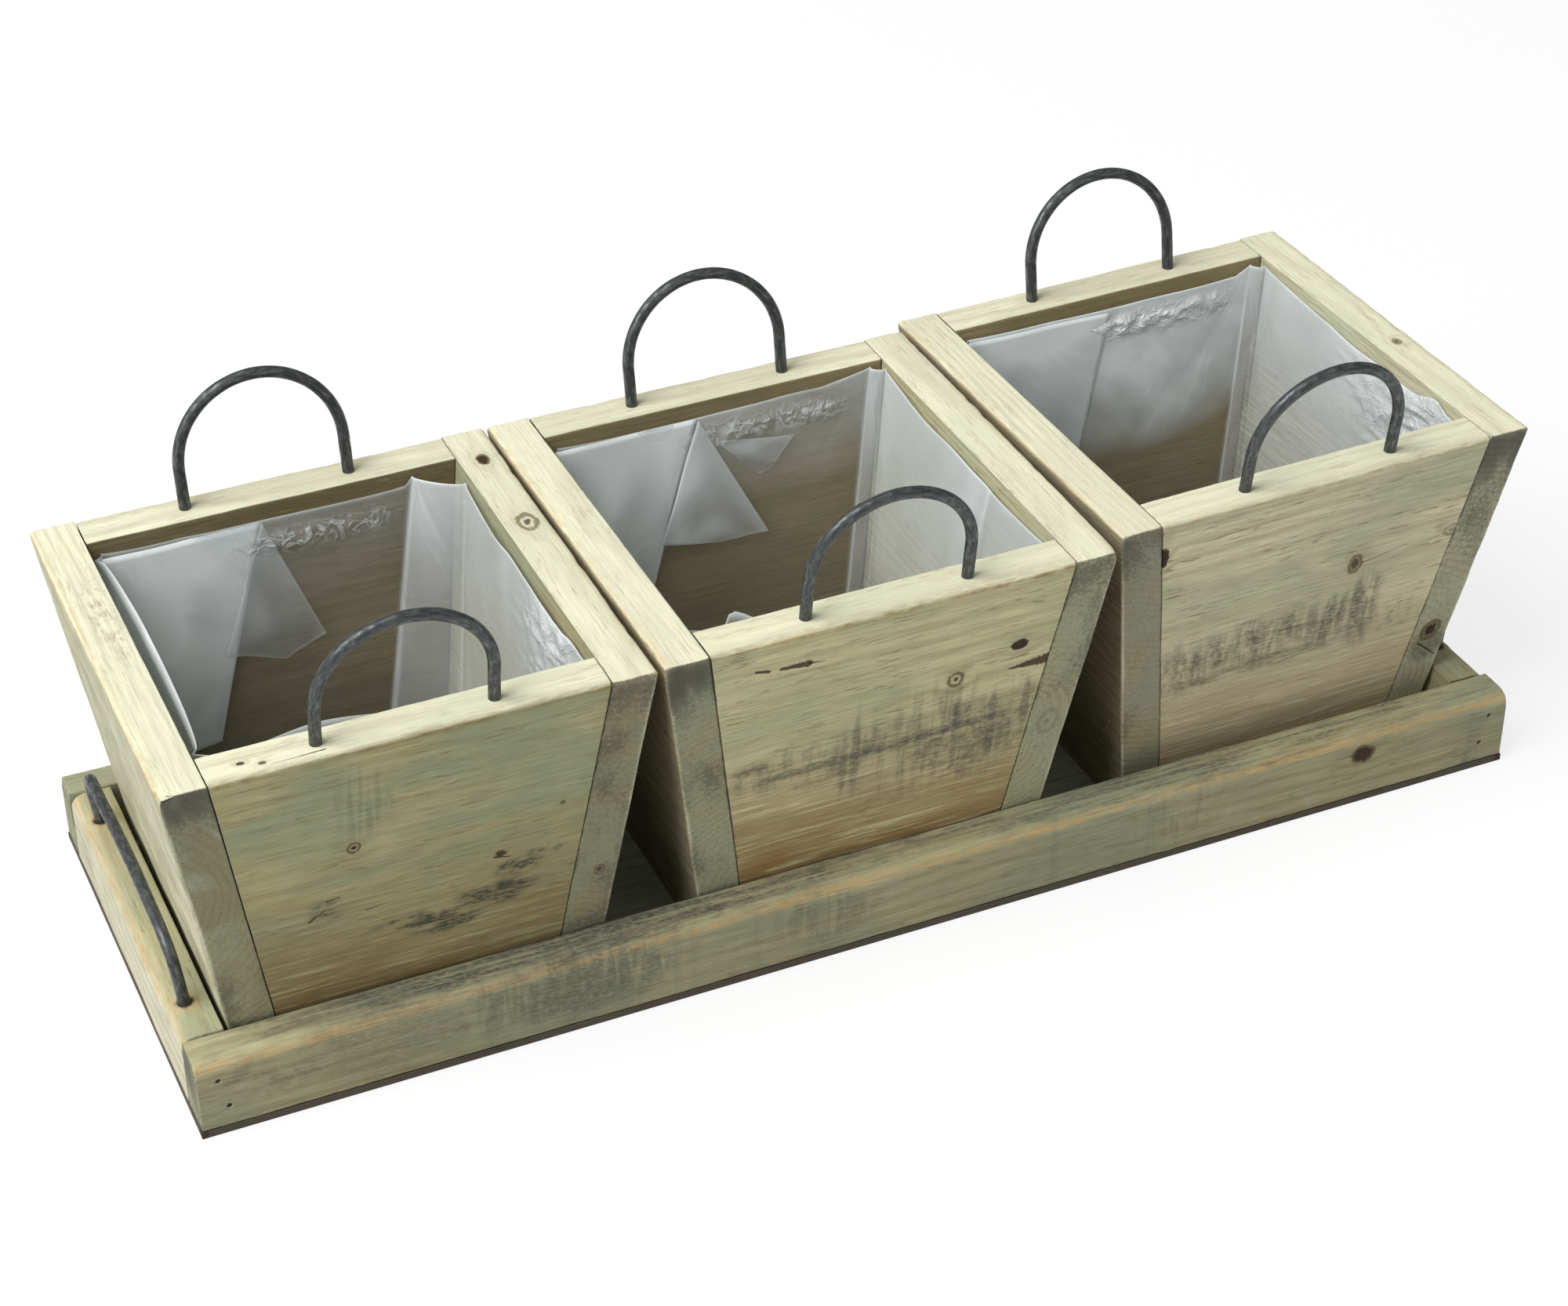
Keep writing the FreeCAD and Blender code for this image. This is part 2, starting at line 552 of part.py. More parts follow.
def rail_handle(end):
    """A low bow: two legs, two tight bends and a slightly crowned top, leaning outwards."""
    body = new_body(f"tray_{end}_handle")
    half = "(rail_handle_span / 2)"
    top_radius = f"(rail_handle_bend + ({half} - rail_handle_bend) / sin(rail_handle_bow))"
    crown = f"({top_radius} * (1 - cos(rail_handle_bow)))"
    leg_rise = f"(rail_handle_rise - {crown} - rail_handle_bend * cos(rail_handle_bow))"
    foot = "-rail_handle_hole_depth"
    spine = sketch_on(body, "bent_line", *rail_handle_frame(end, "YZ_Plane", "0"))
    reach, rise, depth = value(half), value(leg_rise), value(foot)
    bend, large = value("rail_handle_bend"), value(top_radius)
    bow = math.radians(value("rail_handle_bow"))
    quarter = math.pi / 2
    legs = [spine.addGeometry(Part.LineSegment(Vector(-reach, depth, 0), Vector(-reach, rise, 0)))]
    middles = [Vector(bend - reach, rise, 0), Vector(0, value("rail_handle_rise") - large, 0),
               Vector(reach - bend, rise, 0)]
    arcs = [add_arc(spine, middles[0], bend, quarter + bow, math.pi),
            add_arc(spine, middles[1], large, quarter - bow, quarter + bow),
            add_arc(spine, middles[2], bend, 0, quarter - bow)]
    legs.append(spine.addGeometry(Part.LineSegment(Vector(reach, rise, 0), Vector(reach, depth, 0))))
    pin_point(spine, legs[0], 1, (f"-{half}", foot))
    pin_point(spine, legs[0], 2, (f"-{half}", leg_rise))
    pin_point(spine, legs[1], 1, (half, leg_rise))
    pin_point(spine, legs[1], 2, (half, foot))
    for before, end_of_before, after, start_of_after in (
            (legs[0], 2, arcs[0], 2), (arcs[0], 1, arcs[1], 2),
            (arcs[1], 1, arcs[2], 2), (arcs[2], 1, legs[1], 1)):
        tie = Sketcher.Constraint("Tangent", before, end_of_before, after, start_of_after)
        spine.addConstraint(tie)
    tie = spine.addConstraint(Sketcher.Constraint("Radius", arcs[1], large))
    spine.setExpression(f"Constraints[{tie}]", ex(top_radius))
    ring = sketch_on(body, "ring", *rail_handle_frame(end, "XY_Plane", foot))
    add_circle(ring, ("0", f"-{half}"), "wire_diameter")
    wire(body, spine, ring, 2 * (rise - depth) + 2 * bend * (quarter - bow) + 2 * large * bow)


parts = []
nail_seats = long_rail("front") + long_rail("back")
for end in ENDS:
    end_rail(end)
tack_seats = base_panel()
pin_group("tray_rail_nails", "nail", nail_seats, RAIL_NAIL_LENGTH)
pin_group("tray_panel_tacks", "tack", tack_seats, "tack_length")
for end in ENDS:
    rail_handle(end)
for pot in POTS:
    for side in SIDES:
        long_wall(pot, side)
        pot_handle(pot, side)
    seats = side_wall(pot, "left") + side_wall(pot, "right")
    floor_board(pot)
    liner(pot)
    set_in_place(pin_group(f"{pot}_pot_nails", "nail", seats, "nail_length"), pot)
doc.recompute()

# Every object is sound before anything is written
for item in doc.Objects:
    assert not {"Invalid", "Error"} & set(item.State), f"{item.Label}: {item.State}"
for part in parts:
    assert not part.Shape.isNull() and part.Shape.isValid(), f"{part.Label}: shape"
    assert len(part.Shape.Solids) >= 1, f"{part.Label}: no solid"

os.makedirs("parts", exist_ok=True)
for part in parts:
    part.Shape.exportStep(f"parts/{part.Label}.step")
    box = part.Shape.BoundBox
    print(f"{part.Label:28s} solids {len(part.Shape.Solids):2d}  volume {part.Shape.Volume:10.1f}"
          f"  x {box.XMin:7.1f} {box.XMax:7.1f}  y {box.YMin:7.1f} {box.YMax:7.1f}"
          f"  z {box.ZMin:6.1f} {box.ZMax:6.1f}")
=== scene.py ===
# %% [markdown]
# # An indoor herb planter in weathered pine
# Three tapered wooden pots with wire handles stand in a low wooden tray, each with a loose film bag
# inside. This lesson dresses the planned solids: every board gets worn arrises, bores, knots and a
# grain that runs through the wood, every handle becomes bent wire, and every bag becomes creased film.
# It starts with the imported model, which fixes where each piece is.

import math

import bpy
import numpy as np
from mathutils import Matrix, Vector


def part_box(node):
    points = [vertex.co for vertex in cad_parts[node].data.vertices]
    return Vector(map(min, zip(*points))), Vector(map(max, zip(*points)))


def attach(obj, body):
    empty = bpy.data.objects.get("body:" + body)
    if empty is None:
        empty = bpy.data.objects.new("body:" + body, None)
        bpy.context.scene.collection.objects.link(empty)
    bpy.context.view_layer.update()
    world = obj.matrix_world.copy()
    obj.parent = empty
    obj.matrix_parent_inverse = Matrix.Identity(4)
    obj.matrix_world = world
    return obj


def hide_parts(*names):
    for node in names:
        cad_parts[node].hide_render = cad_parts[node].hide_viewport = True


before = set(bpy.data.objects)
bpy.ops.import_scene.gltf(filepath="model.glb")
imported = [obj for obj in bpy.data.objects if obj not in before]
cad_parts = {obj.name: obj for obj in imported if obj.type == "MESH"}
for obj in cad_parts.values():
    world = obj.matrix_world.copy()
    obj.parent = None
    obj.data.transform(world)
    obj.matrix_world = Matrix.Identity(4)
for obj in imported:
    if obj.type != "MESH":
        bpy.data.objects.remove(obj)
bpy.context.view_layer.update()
scene = bpy.context.scene
scene.view_settings.view_transform = "Standard"

# %% [markdown]
# ## The maker's sizes
# A pot is a square tub whose four walls lean outwards by the same slope. The walls are cut from one
# stock, the side walls cover the ends of the front and back walls, and the tray's long rails cover
# the ends of the short ones. These sizes, in millimetres, place every corner that is dressed below.

# %% Sizes of the pots and the tray
MM = 0.001
POT_HEIGHT, FOOT_HALF, RIM_HALF, STOCK = 109.0, 50.0, 66.0, 12.8
TAPER = (RIM_HALF - FOOT_HALF) / POT_HEIGHT
TILT = math.atan(TAPER)
ACROSS = STOCK / math.cos(TILT)
SLOPE_LENGTH = POT_HEIGHT / math.cos(TILT)
PANEL, RAIL_HEIGHT, RAIL_STOCK = 2.0, 22.0, 12.2
RAIL_TOP = PANEL + RAIL_HEIGHT
TURNS = {"left": -0.25, "middle": 0.0, "right": 1.2}
FLOOR = 9.0


def pot_place(pot):
    """Middle of the pot's foot, read from its floor board, and its small turn as a 2 by 2 matrix."""
    low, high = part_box(f"{pot}_pot_floor_board")
    middle = np.array([(low.x + high.x) / 2, (low.y + high.y) / 2, low.z]) / MM
    angle = math.radians(TURNS[pot])
    turn = np.array([[math.cos(angle), -math.sin(angle)], [math.sin(angle), math.cos(angle)]])
    return middle, turn


def stand(points, pot):
    """Turns points from a pot's own frame by its small turn, and moves them to its place."""
    middle, turn = pot_place(pot)
    placed = np.array(points, float)
    placed[..., :2] = placed[..., :2] @ turn.T
    return placed + middle


tray_low, tray_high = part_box("tray_front_rail")
TRAY_HALF = float(tray_high.x) / MM
TRAY_DEPTH_HALF = -float(tray_low.y) / MM
print("slope", round(math.degrees(TILT), 2), "tray half", round(TRAY_HALF, 2), round(TRAY_DEPTH_HALF, 2))

# %% [markdown]
# ## Random values that stay the same
# Hand-made wood is never even. A table of seeded random numbers, smoothed between its entries, gives
# the slow swell of an edge or the place of a stain, and it is the same on every run.

# %% Smooth random values over a plane


def swell(x, y, seed):
    """Value noise from 0 to 1: the four nearest entries of a seeded table, mixed by an eased share of
    the way between them in each direction."""
    table = np.random.default_rng(seed).random((64, 64))
    xi, yi = np.floor(x).astype(int), np.floor(y).astype(int)
    sx, sy = x - xi, y - yi
    sx, sy = sx * sx * (3 - 2 * sx), sy * sy * (3 - 2 * sy)
    low = table[xi % 64, yi % 64] * (1 - sx) + table[(xi + 1) % 64, yi % 64] * sx
    high = table[xi % 64, (yi + 1) % 64] * (1 - sx) + table[(xi + 1) % 64, (yi + 1) % 64] * sx
    return low * (1 - sy) + high * sy


def rough(x, y, seed):
    """Three octaves of value noise, each half as large and half as strong as the one before."""
    return (swell(x, y, seed) * 4 + swell(2.1 * x, 2.1 * y, seed + 1) * 2
            + swell(4.3 * x, 4.3 * y, seed + 2)) / 7


def unit(x):
    """The values held between 0 and 1."""
    return np.clip(x, 0, 1)


def hump(x, centre, width):
    """A bell that is 1 at the centre and fades over the width."""
    return np.exp(-(((x - centre) / width) ** 2))


print("swell", np.round(swell(np.array([0.2, 0.7]), np.array([0.1, 0.4]), 5), 3))

# %% [markdown]
# ## A board as a lattice
# A sawn board is a box with six faces, so its surface is a lattice of lines along, up and through it.
# The lines lie closer together where something small happens: in the worn arrises and in rings round
# each bore. All six faces share the same lattice points, so the skin is closed with no loose seams.

# %% Lattice lines and a closed skin
BORE_RINGS = np.array([-2.2, -1.45, -1.0, -0.93, -0.5, 0, 0.5, 0.93, 1.0, 1.45, 2.2])
EDGE_SHARES = np.array([0, 0.2, 0.45, 0.72])
EDGE_ROOM, BORE_REACH, BORE_CLEAR, CLOSEST = 1.6, BORE_RINGS[-1], 2.4, 0.012


def lines(length, step, low, high, bores):
    """Places of the lattice lines along one side: even steps, four closer ones in each worn edge, and
    the rings round each bore instead of the even steps there."""
    even = np.linspace(low, length - high, max(2, int(round((length - low - high) / step)) + 1))
    for centre, radius in bores:
        even = even[np.abs(even - centre) > BORE_CLEAR * radius]
    parts = [low * EDGE_SHARES, even, length - high * EDGE_SHARES]
    parts += [centre + radius * BORE_RINGS for centre, radius in bores]
    places = np.unique(np.round(np.concatenate(parts), 4))
    places = places[(places >= 0) & (places <= length)]
    return places[np.concatenate([[True], np.diff(places) > CLOSEST])]


def sheet_squares(number):
    """The four corner numbers of each square in a sheet of numbered points."""
    corners = [number[:-1, :-1], number[1:, :-1], number[1:, 1:], number[:-1, 1:]]
    return np.stack(corners, axis=-1).reshape(-1, 4)


def closed_skin(along, up, through):
    """Points and four-cornered faces of a lattice box. Each side is a sheet of squares between
    neighbouring lines, numbered by their place in the whole lattice, and each number is kept once."""
    count = (len(along), len(up), len(through))
    number = np.arange(math.prod(count)).reshape(count)
    faces = []
    for axis in range(3):
        for end in (0, -1):
            squares = sheet_squares(np.take(number, end, axis=axis))
            faces.append(squares[:, ::-1] if (end == 0) != (axis == 1) else squares)
    faces = np.concatenate(faces)
    kept, squares = np.unique(faces, return_inverse=True)
    i, j, k = np.unravel_index(kept, count)
    return np.stack([along[i], up[j], through[k]], axis=-1), squares.reshape(-1, 4)


test_points, test_faces = closed_skin(*[np.linspace(0, 1, 3)] * 3)
print("test skin", len(test_points), "points", len(test_faces), "faces")

# %% [markdown]
# ## Worn arrises
# Handling and planing round the edges of a board. Each lattice point is pulled back onto a box that is
# smaller by the edge radius and pushed out again by that radius in the direction it came from, which
# leaves flat faces flat and turns every arris into a quarter round. The outer top edge has its own,
# larger radius. The direction is also where relief such as chips and dents moves the point.

# %% Round the edges of a lattice box


def worn(points, size, edge, crown, end_edge=None, inner_edge=None):
    """The rounded points and their outward directions. The radius is crown at the outer top edge,
    end_edge at the ends and inner_edge at the inner face where they are given, and edge elsewhere. The
    part beyond the inner box is scaled to the length of one radius."""
    radius = np.full(points.shape, edge)
    if end_edge is not None:
        radius[:, 0] = end_edge
    if inner_edge is not None:
        radius[points[:, 2] > size[2] / 2, 2] = inner_edge
    on_crown = (points[:, 1] > size[1] - crown * 1.01) & (points[:, 2] < crown * 1.01)
    radius[on_crown, 1:] = crown
    inner = np.clip(points, radius, np.subtract(size, radius))
    beyond = (points - inner) / radius
    beyond /= np.linalg.norm(beyond, axis=1, keepdims=True)
    return inner + beyond * radius, beyond


rounded, outward = worn(test_points * 10, (10, 10, 10), 0.5, 1.5)
print("largest pull at a corner", round(float(np.abs(rounded - test_points * 10).max()), 2), "mm")

# %% [markdown]
# ## Bores
# A drilled hole has to be round, but a lattice is square. Inside the bore's rings each square ring is
# turned into a circle by moving its points towards or away from the middle, the effect fading outside,
# and the innermost rings are pushed down into the wood. That is how the wire handles get real holes
# with a dark gap round the wire, and how the nail heads lie in small pits.

# %% Sink round bores into one face


def bore(points, chosen, axes, centre, radii, depth, drift=0.0):
    """Square rings to round ones: the larger of the two distances, over the straight distance, scales
    each point; full inside the bore, none beyond its rings. Points inside 0.95 radii sink by depth,
    and drift sideways along the second axis."""
    first, second = axes
    x = (points[:, first] - centre[0]) / radii[0]
    y = (points[:, second] - centre[1]) / radii[1]
    square = np.maximum(np.abs(x), np.abs(y))
    straight = np.maximum(np.hypot(x, y), 1e-9)
    share = unit((BORE_REACH - square) / (BORE_REACH - 1)) * chosen
    scale = 1 + share * (square / straight - 1)
    moved = points.copy()
    moved[:, first] = centre[0] + x * scale * radii[0]
    moved[:, second] = centre[1] + y * scale * radii[1]
    inside = chosen & (square < 0.95)
    sunk = 3 - first - second
    moved[inside, sunk] += depth
    moved[inside, second] += drift
    return np.where((chosen & (square < BORE_REACH))[:, None], moved, points)


print("bore rings", BORE_RINGS)

# %% [markdown]
# ## From a lattice to a piece
# One function makes a mesh from points and faces and keeps what the finish needs at each point: its
# place in the board, so that grain and knots run through the wood, and how pale and warm it is and how
# much grime and painted shade it carries.

# %% Make a mesh piece


def mesh_object(name, points, faces, notes, material, node, slot, body):
    """A smooth mesh object from points in millimetres, with the notes kept at its points. It stands for
    a planned solid and rides on its body. The slot is not used."""
    mesh = bpy.data.meshes.new(name)
    mesh.from_pydata((points * MM).tolist(), [], faces)
    for key, numbers in notes.items():
        attribute = mesh.attributes.new(key, "FLOAT_VECTOR", "POINT")
        attribute.data.foreach_set("vector", np.asarray(numbers, np.float32).ravel())
    mesh.polygons.foreach_set("use_smooth", np.ones(len(faces), bool))
    mesh.materials.append(material)
    mesh.update()
    made = bpy.data.objects.new(name, mesh)
    scene.collection.objects.link(made)
    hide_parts(node)
    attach(made, body)
    return made


def closed_piece(name, points, squares, notes, material, node, slot, body, caps=()):
    """A mesh object whose faces look outwards. They are turned over if the volume, the sum of the
    squares' corner products about the middle, is negative."""
    a, b, c, d = (points[squares[:, i]] - points.mean(0) for i in range(4))
    faces = [*squares.tolist(), *caps]
    if np.einsum("ij,ij->", a, np.cross(b, c) + np.cross(c, d)) < 0:
        faces = [face[::-1] for face in faces]
    return mesh_object(name, points, faces, notes, material, node, slot, body)


def blend_corners(shares, corners):
    """Point inside eight corners: each corner times its share along, up and through."""
    along, up, through = (np.stack([1 - share, share]) for share in shares.T)
    return np.einsum("in,jn,kn,ijkc->nc", along, up, through, corners)


print("piece makers", mesh_object.__name__, closed_piece.__name__)

# %% [markdown]
# ## Shader blocks
# Finishes are built from small node groups with named inputs and outputs. A term is an output that can
# be added, subtracted, multiplied and divided like a number: each sign adds one node to the tree. So
# each group below reads like a formula.

# %% Node helpers


class Term:
    """An output socket that takes part in sums."""

    def __init__(self, socket):
        self.socket = socket

    def __add__(self, other):
        return calc("ADD", self, other)

    def __sub__(self, other):
        return calc("SUBTRACT", self, other)

    def __rsub__(self, other):
        return calc("SUBTRACT", other, self)

    def __mul__(self, other):
        return calc("MULTIPLY", self, other)

    def __truediv__(self, other):
        return calc("DIVIDE", self, other)

    def __pow__(self, other):
        return calc("POWER", self, other)


def add(tree, kind, values=(), **settings):
    """Adds one node. Values go to its inputs in order or by name: a term or socket is linked."""
    node = tree.nodes.new(kind)
    for key, setting in settings.items():
        setattr(node, key, setting)
    for key, given in values.items() if isinstance(values, dict) else enumerate(values):
        given = getattr(given, "socket", given)
        if isinstance(given, bpy.types.NodeSocket):
            tree.links.new(given, node.inputs[key])
        else:
            node.inputs[key].default_value = given
    return node


def tree_of(*values):
    """The node tree of the first term among the values."""
    return next(value.socket.id_data for value in values if isinstance(value, Term))


def calc(operation, *values, clamp=False):
    """One Math node or, if a value is a vector, one Vector Math node."""
    tree = tree_of(*values)
    if any(isinstance(value, Term) and value.socket.type == "VECTOR" for value in values):
        node = add(tree, "ShaderNodeVectorMath", values, operation=operation)
        return Term(node.outputs[1 if operation in ("LENGTH", "DOT_PRODUCT") else 0])
    return Term(add(tree, "ShaderNodeMath", values, operation=operation, use_clamp=clamp).outputs[0])


def noise(vector, detail=2.0, roughness=0.5, distortion=0.0, scale=1.0):
    """One three-dimensional Noise Texture's value."""
    values = {"Vector": vector, "Scale": scale, "Detail": detail, "Roughness": roughness,
              "Distortion": distortion}
    return Term(add(tree_of(vector), "ShaderNodeTexNoise", values).outputs[0])


def eased(value, start, end, low=0.0, high=1.0):
    """Smooth step from low to high as the value goes from start to end."""
    return Term(add(tree_of(value), "ShaderNodeMapRange", (value, start, end, low, high),
                    interpolation_type="SMOOTHSTEP").outputs[0])


def tint(share, first, second, blend_type="MIX"):
    """Mixes two colours by a share."""
    node = add(tree_of(share, first, second), "ShaderNodeMix", {0: share, 6: first, 7: second},
               data_type="RGBA", blend_type=blend_type)
    return Term(node.outputs[2])


def joined(tree, *values):
    """Three values as one vector."""
    return Term(add(tree, "ShaderNodeCombineXYZ", values).outputs[0])


def split(vector):
    """The three values of a vector."""
    return [Term(socket) for socket in add(tree_of(vector), "ShaderNodeSeparateXYZ", (vector,)).outputs]


def send(inputs, **terms):
    """Links each term to the input of its name; underscores stand for spaces."""
    for key, term in terms.items():
        term.socket.id_data.links.new(term.socket, inputs[key.replace("_", " ")])


def object_place(tree):
    """The place of a surface point in its object."""
    return Term(add(tree, "ShaderNodeTexCoord").outputs["Object"])


def kept_values(tree, name):
    """The vector that a mesh keeps at its points under a name."""
    return Term(add(tree, "ShaderNodeAttribute", attribute_name=name).outputs["Vector"])


def bumped(height, strength, distance):
    """A normal that follows a height."""
    return Term(add(tree_of(height), "ShaderNodeBump",
                    {"Strength": strength, "Distance": distance, "Height": height}).outputs[0])


def new_material(name):
    """An empty material, its node tree and its surface shader."""
    made = bpy.data.materials.new(name)
    made.use_nodes = True
    return made, made.node_tree, made.node_tree.nodes["Principled BSDF"]


def group(name, inputs, outputs):
    """An empty node group with its sockets. Inputs: name to kind and start value; outputs: names to
    kinds. Gives the group, its inputs as terms, and the sockets that its results go to."""
    tree = bpy.data.node_groups.new(name, "ShaderNodeTree")
    for key, (kind, start) in inputs.items():
        socket = tree.interface.new_socket(key, in_out="INPUT", socket_type=f"NodeSocket{kind}")
        if start is not None:
            socket.default_value = start
    for key, kind in outputs.items():
        tree.interface.new_socket(key, in_out="OUTPUT", socket_type=f"NodeSocket{kind}")
    given = {socket.name: Term(socket) for socket in tree.nodes.new("NodeGroupInput").outputs}
    return tree, given, tree.nodes.new("NodeGroupOutput").inputs


def use(tree, block, **values):
    """Places a node group in a tree and gives its results; underscores in a name stand for spaces."""
    values = {key.replace("_", " "): given for key, given in values.items()}
    node = add(tree, "ShaderNodeGroup", values, node_tree=block)
    return {socket.name: Term(socket) for socket in node.outputs}


print("helpers ready")

# %% [markdown]
# ## Growth rings and fibres
# A board is a slice of a trunk. Its growth rings are cylinders round a pith line that runs along the
# board, somewhere below or behind it, so one formula gives stripes on the faces and arcs on the sawn
# ends. The distance to the pith, bent by slow noise and pushed aside near knots, is turned into rings
# by a sine. Fibres are noise drawn out along the board, and slow patches carry the weathering.

# %% Group: growth rings and fibres
VECTOR, ONES = ("Vector", None), ("Vector", (1, 1, 1))
rings_block, given, result = group(
    "growth_rings",
    {"Place": VECTOR, "Pith": VECTOR, "Ring Width": ("Float", 0.003), "Wander": ("Float", 0.004),
     "Push": ("Float", 0.0), "Seed": ("Float", 0.0)},
    dict.fromkeys(("Rings", "Fibre", "Streak", "Patch", "Fleck"), "Float"))
shifted = given["Place"] + joined(rings_block, given["Seed"], given["Seed"], 0.0)
bend = (noise(shifted * (9.0, 26.0, 26.0), 2.0, 0.45) - 0.5) * given["Wander"]
across = (given["Place"] - given["Pith"]) * (0.06, 1, 1)
reach = calc("LENGTH", across) + bend + given["Push"]
wave = calc("SINE", reach / given["Ring Width"] * (2 * math.pi)) * 0.5 + 0.5
fleck = eased(noise(shifted * (150.0, 1500.0, 1500.0), 2.0, 0.6, 0.3), 0.57, 0.66)
where = eased(noise(shifted * (45.0, 160.0, 160.0)), 0.42, 0.62, 0.15, 1.0)
send(result, Rings=wave ** 2.4, Fleck=fleck * where,
     Fibre=noise(shifted * (75.0, 1700.0, 1700.0), 3.0, 0.6),
     Streak=noise(shifted * (32.0, 850.0, 850.0), 4.0, 0.72, 0.3),
     Patch=noise(shifted * (16.0, 42.0, 42.0), 3.0, 0.46, 0.6))
print("group", rings_block.name, len(rings_block.nodes), "nodes")

# %% [markdown]
# ## Knots, cracks and smudges
# A knot is an old branch: a dark core, a ring and a halo that pushes the growth rings aside. A crack
# is everything close to a line between two points. A smudge is a patch of broken vertical and
# horizontal strokes, like old dye or dust dragged over the wood. Each reads a flat place: across the
# face, or across a sawn end.

# %% Groups: knot, crack and smudge
knot_block, given, result = group(
    "knot", {"Flat": VECTOR, "Centre": VECTOR, "Size": ONES, "Hole": ("Float", 0.5)},
    dict.fromkeys(("Core", "Ring", "Halo"), "Float"))
offset = (given["Flat"] - given["Centre"]) / given["Size"]
wobble = noise(given["Flat"], 3.0, 0.6, scale=520.0) * 0.8 - 0.4
apart = calc("LENGTH", offset) + wobble
send(result, Core=eased(apart - given["Hole"], 0.14, -0.1),
     Ring=eased(apart, 0.58, 0.8) * eased(apart, 1.22, 0.98), Halo=eased(apart, 3.4, 0.6))

crack_block, given, result = group(
    "crack", {"Flat": VECTOR, "Start": VECTOR, "End": VECTOR, "Start Width": ("Float", 0.001),
              "End Width": ("Float", 0.001)}, {"Mask": "Float"})
whole = given["End"] - given["Start"]
part = given["Flat"] - given["Start"]
share = calc("DIVIDE", calc("DOT_PRODUCT", part, whole), calc("DOT_PRODUCT", whole, whole), clamp=True)
gap = calc("LENGTH", part - whole * share)
width = share * (given["End Width"] - given["Start Width"]) + given["Start Width"]
ragged = noise(given["Flat"], scale=900.0) * 1.2 + 0.35
send(result, Mask=eased(gap / (width * ragged), 0.62, 0.36))

smudge_block, given, result = group(
    "smudge", {"Flat": VECTOR, "Centre": VECTOR, "Half": ONES, "Stroke": ONES, "Cover": ("Float", 0.5)},
    {"Mask": "Float"})
offset = (given["Flat"] - given["Centre"]) / given["Half"]
torn = noise(given["Flat"], 3.0, scale=130.0) * 0.9 - 0.45
inside = eased(calc("LENGTH", offset) + torn, 1.1, 0.45)
strokes = noise(given["Flat"] * given["Stroke"], 3.0, 0.65, 0.25)
shown = eased(strokes - (0.78 - given["Cover"] * 0.45), -0.09, 0.13)
dust = eased(noise(given["Flat"] * (500.0, 1500.0, 1.0)), 0.30, 0.62, 0.35, 1.0)
send(result, Mask=shown * inside * dust)
print("groups", knot_block.name, crack_block.name, smudge_block.name)

# %% [markdown]
# ## Weathered softwood
# The colour of old pine has layers. Under everything is cream or tan wood with darker late rings; the
# weather adds a green-grey or brown cast in patches; handling wears the edges to orange-tan; dust
# and soot settle into the fibres along the arrises. The same soot colour also lays painted shade where
# the notes ask for it: on inner faces, behind the film and on sides that face a neighbour. The group
# takes the rings and the three notes kept on the mesh, and gives a colour, a roughness and a height
# for the bump.

# %% Group: weathered wood
grain_inputs = {"Rings": 0.0, "Fibre": 0.5, "Streak": 0.5, "Patch": 0.5, "Fleck": 0.0, "Ring Strength": 0.4}
colour_inputs = ("Pale", "Tan", "Late", "Cast", "Warm", "Soot")
wood_block, given, result = group(
    "weathered_wood",
    {"Notes": VECTOR, **{key: ("Float", start) for key, start in grain_inputs.items()},
     **{key: ("Color", (1, 1, 1, 1)) for key in colour_inputs}},
    {"Color": "Color", "Roughness": "Float", "Height": "Float"})
pale, warm, grime_and_shade = split(given["Notes"])
rings, fibre, streak, patch = (given[key] for key in ("Rings", "Fibre", "Streak", "Patch"))
base = tint(eased(pale + (streak * 0.5 - 0.25), 0.1, 0.95), given["Tan"], given["Pale"])
cast_share = eased(patch, 0.40, 0.60) * (0.93 - pale * 0.78) * (1.0 - warm * 0.85)
base = tint(cast_share, base, given["Cast"])
ring_share = rings * given["Ring Strength"] * (1.0 - pale * 0.4) * eased(patch, 0.75, 0.3)
for late_share in (ring_share, eased(streak, 0.50, 0.70) * (0.34 - pale * 0.2),
                   given["Fleck"] * (0.75 - pale * 0.45)):
    base = tint(late_share, base, given["Late"])
base = tint(calc("MULTIPLY", warm, eased(streak, 0.3, 0.5), clamp=True), base, given["Warm"])
# The third note holds real grime and also painted shade (inner faces, behind the film, sides facing a
# neighbour); both mix in the soot colour here.
soot_and_shade_at = fibre * 0.55 + streak * 0.45 - (0.68 - grime_and_shade * 0.42)
soot_and_shade_share = calc("MULTIPLY", eased(soot_and_shade_at, -0.05, 0.12), grime_and_shade * 0.75 + 0.14, clamp=True)
base = tint(soot_and_shade_share, base, given["Soot"])
shade = (fibre - 0.5) * (0.8 - pale * 0.4) + 1.0
base = tint(1.0, base, joined(wood_block, shade, shade, shade), "MULTIPLY")
send(result, Color=base, Roughness=fibre * 0.25 + 0.6, Height=rings * 0.22 + fibre * 0.5 + streak * 0.9)
print("group", wood_block.name, len(wood_block.nodes), "nodes")

# %% [markdown]
# ## One finish per board
# Every board came from its own plank, so each gets its own pith, ring width, colours and faults. The
# function places the groups with the board's values. Faults on the broad faces read the place along
# and up the board; faults on a sawn end or on the rim read the other two directions.

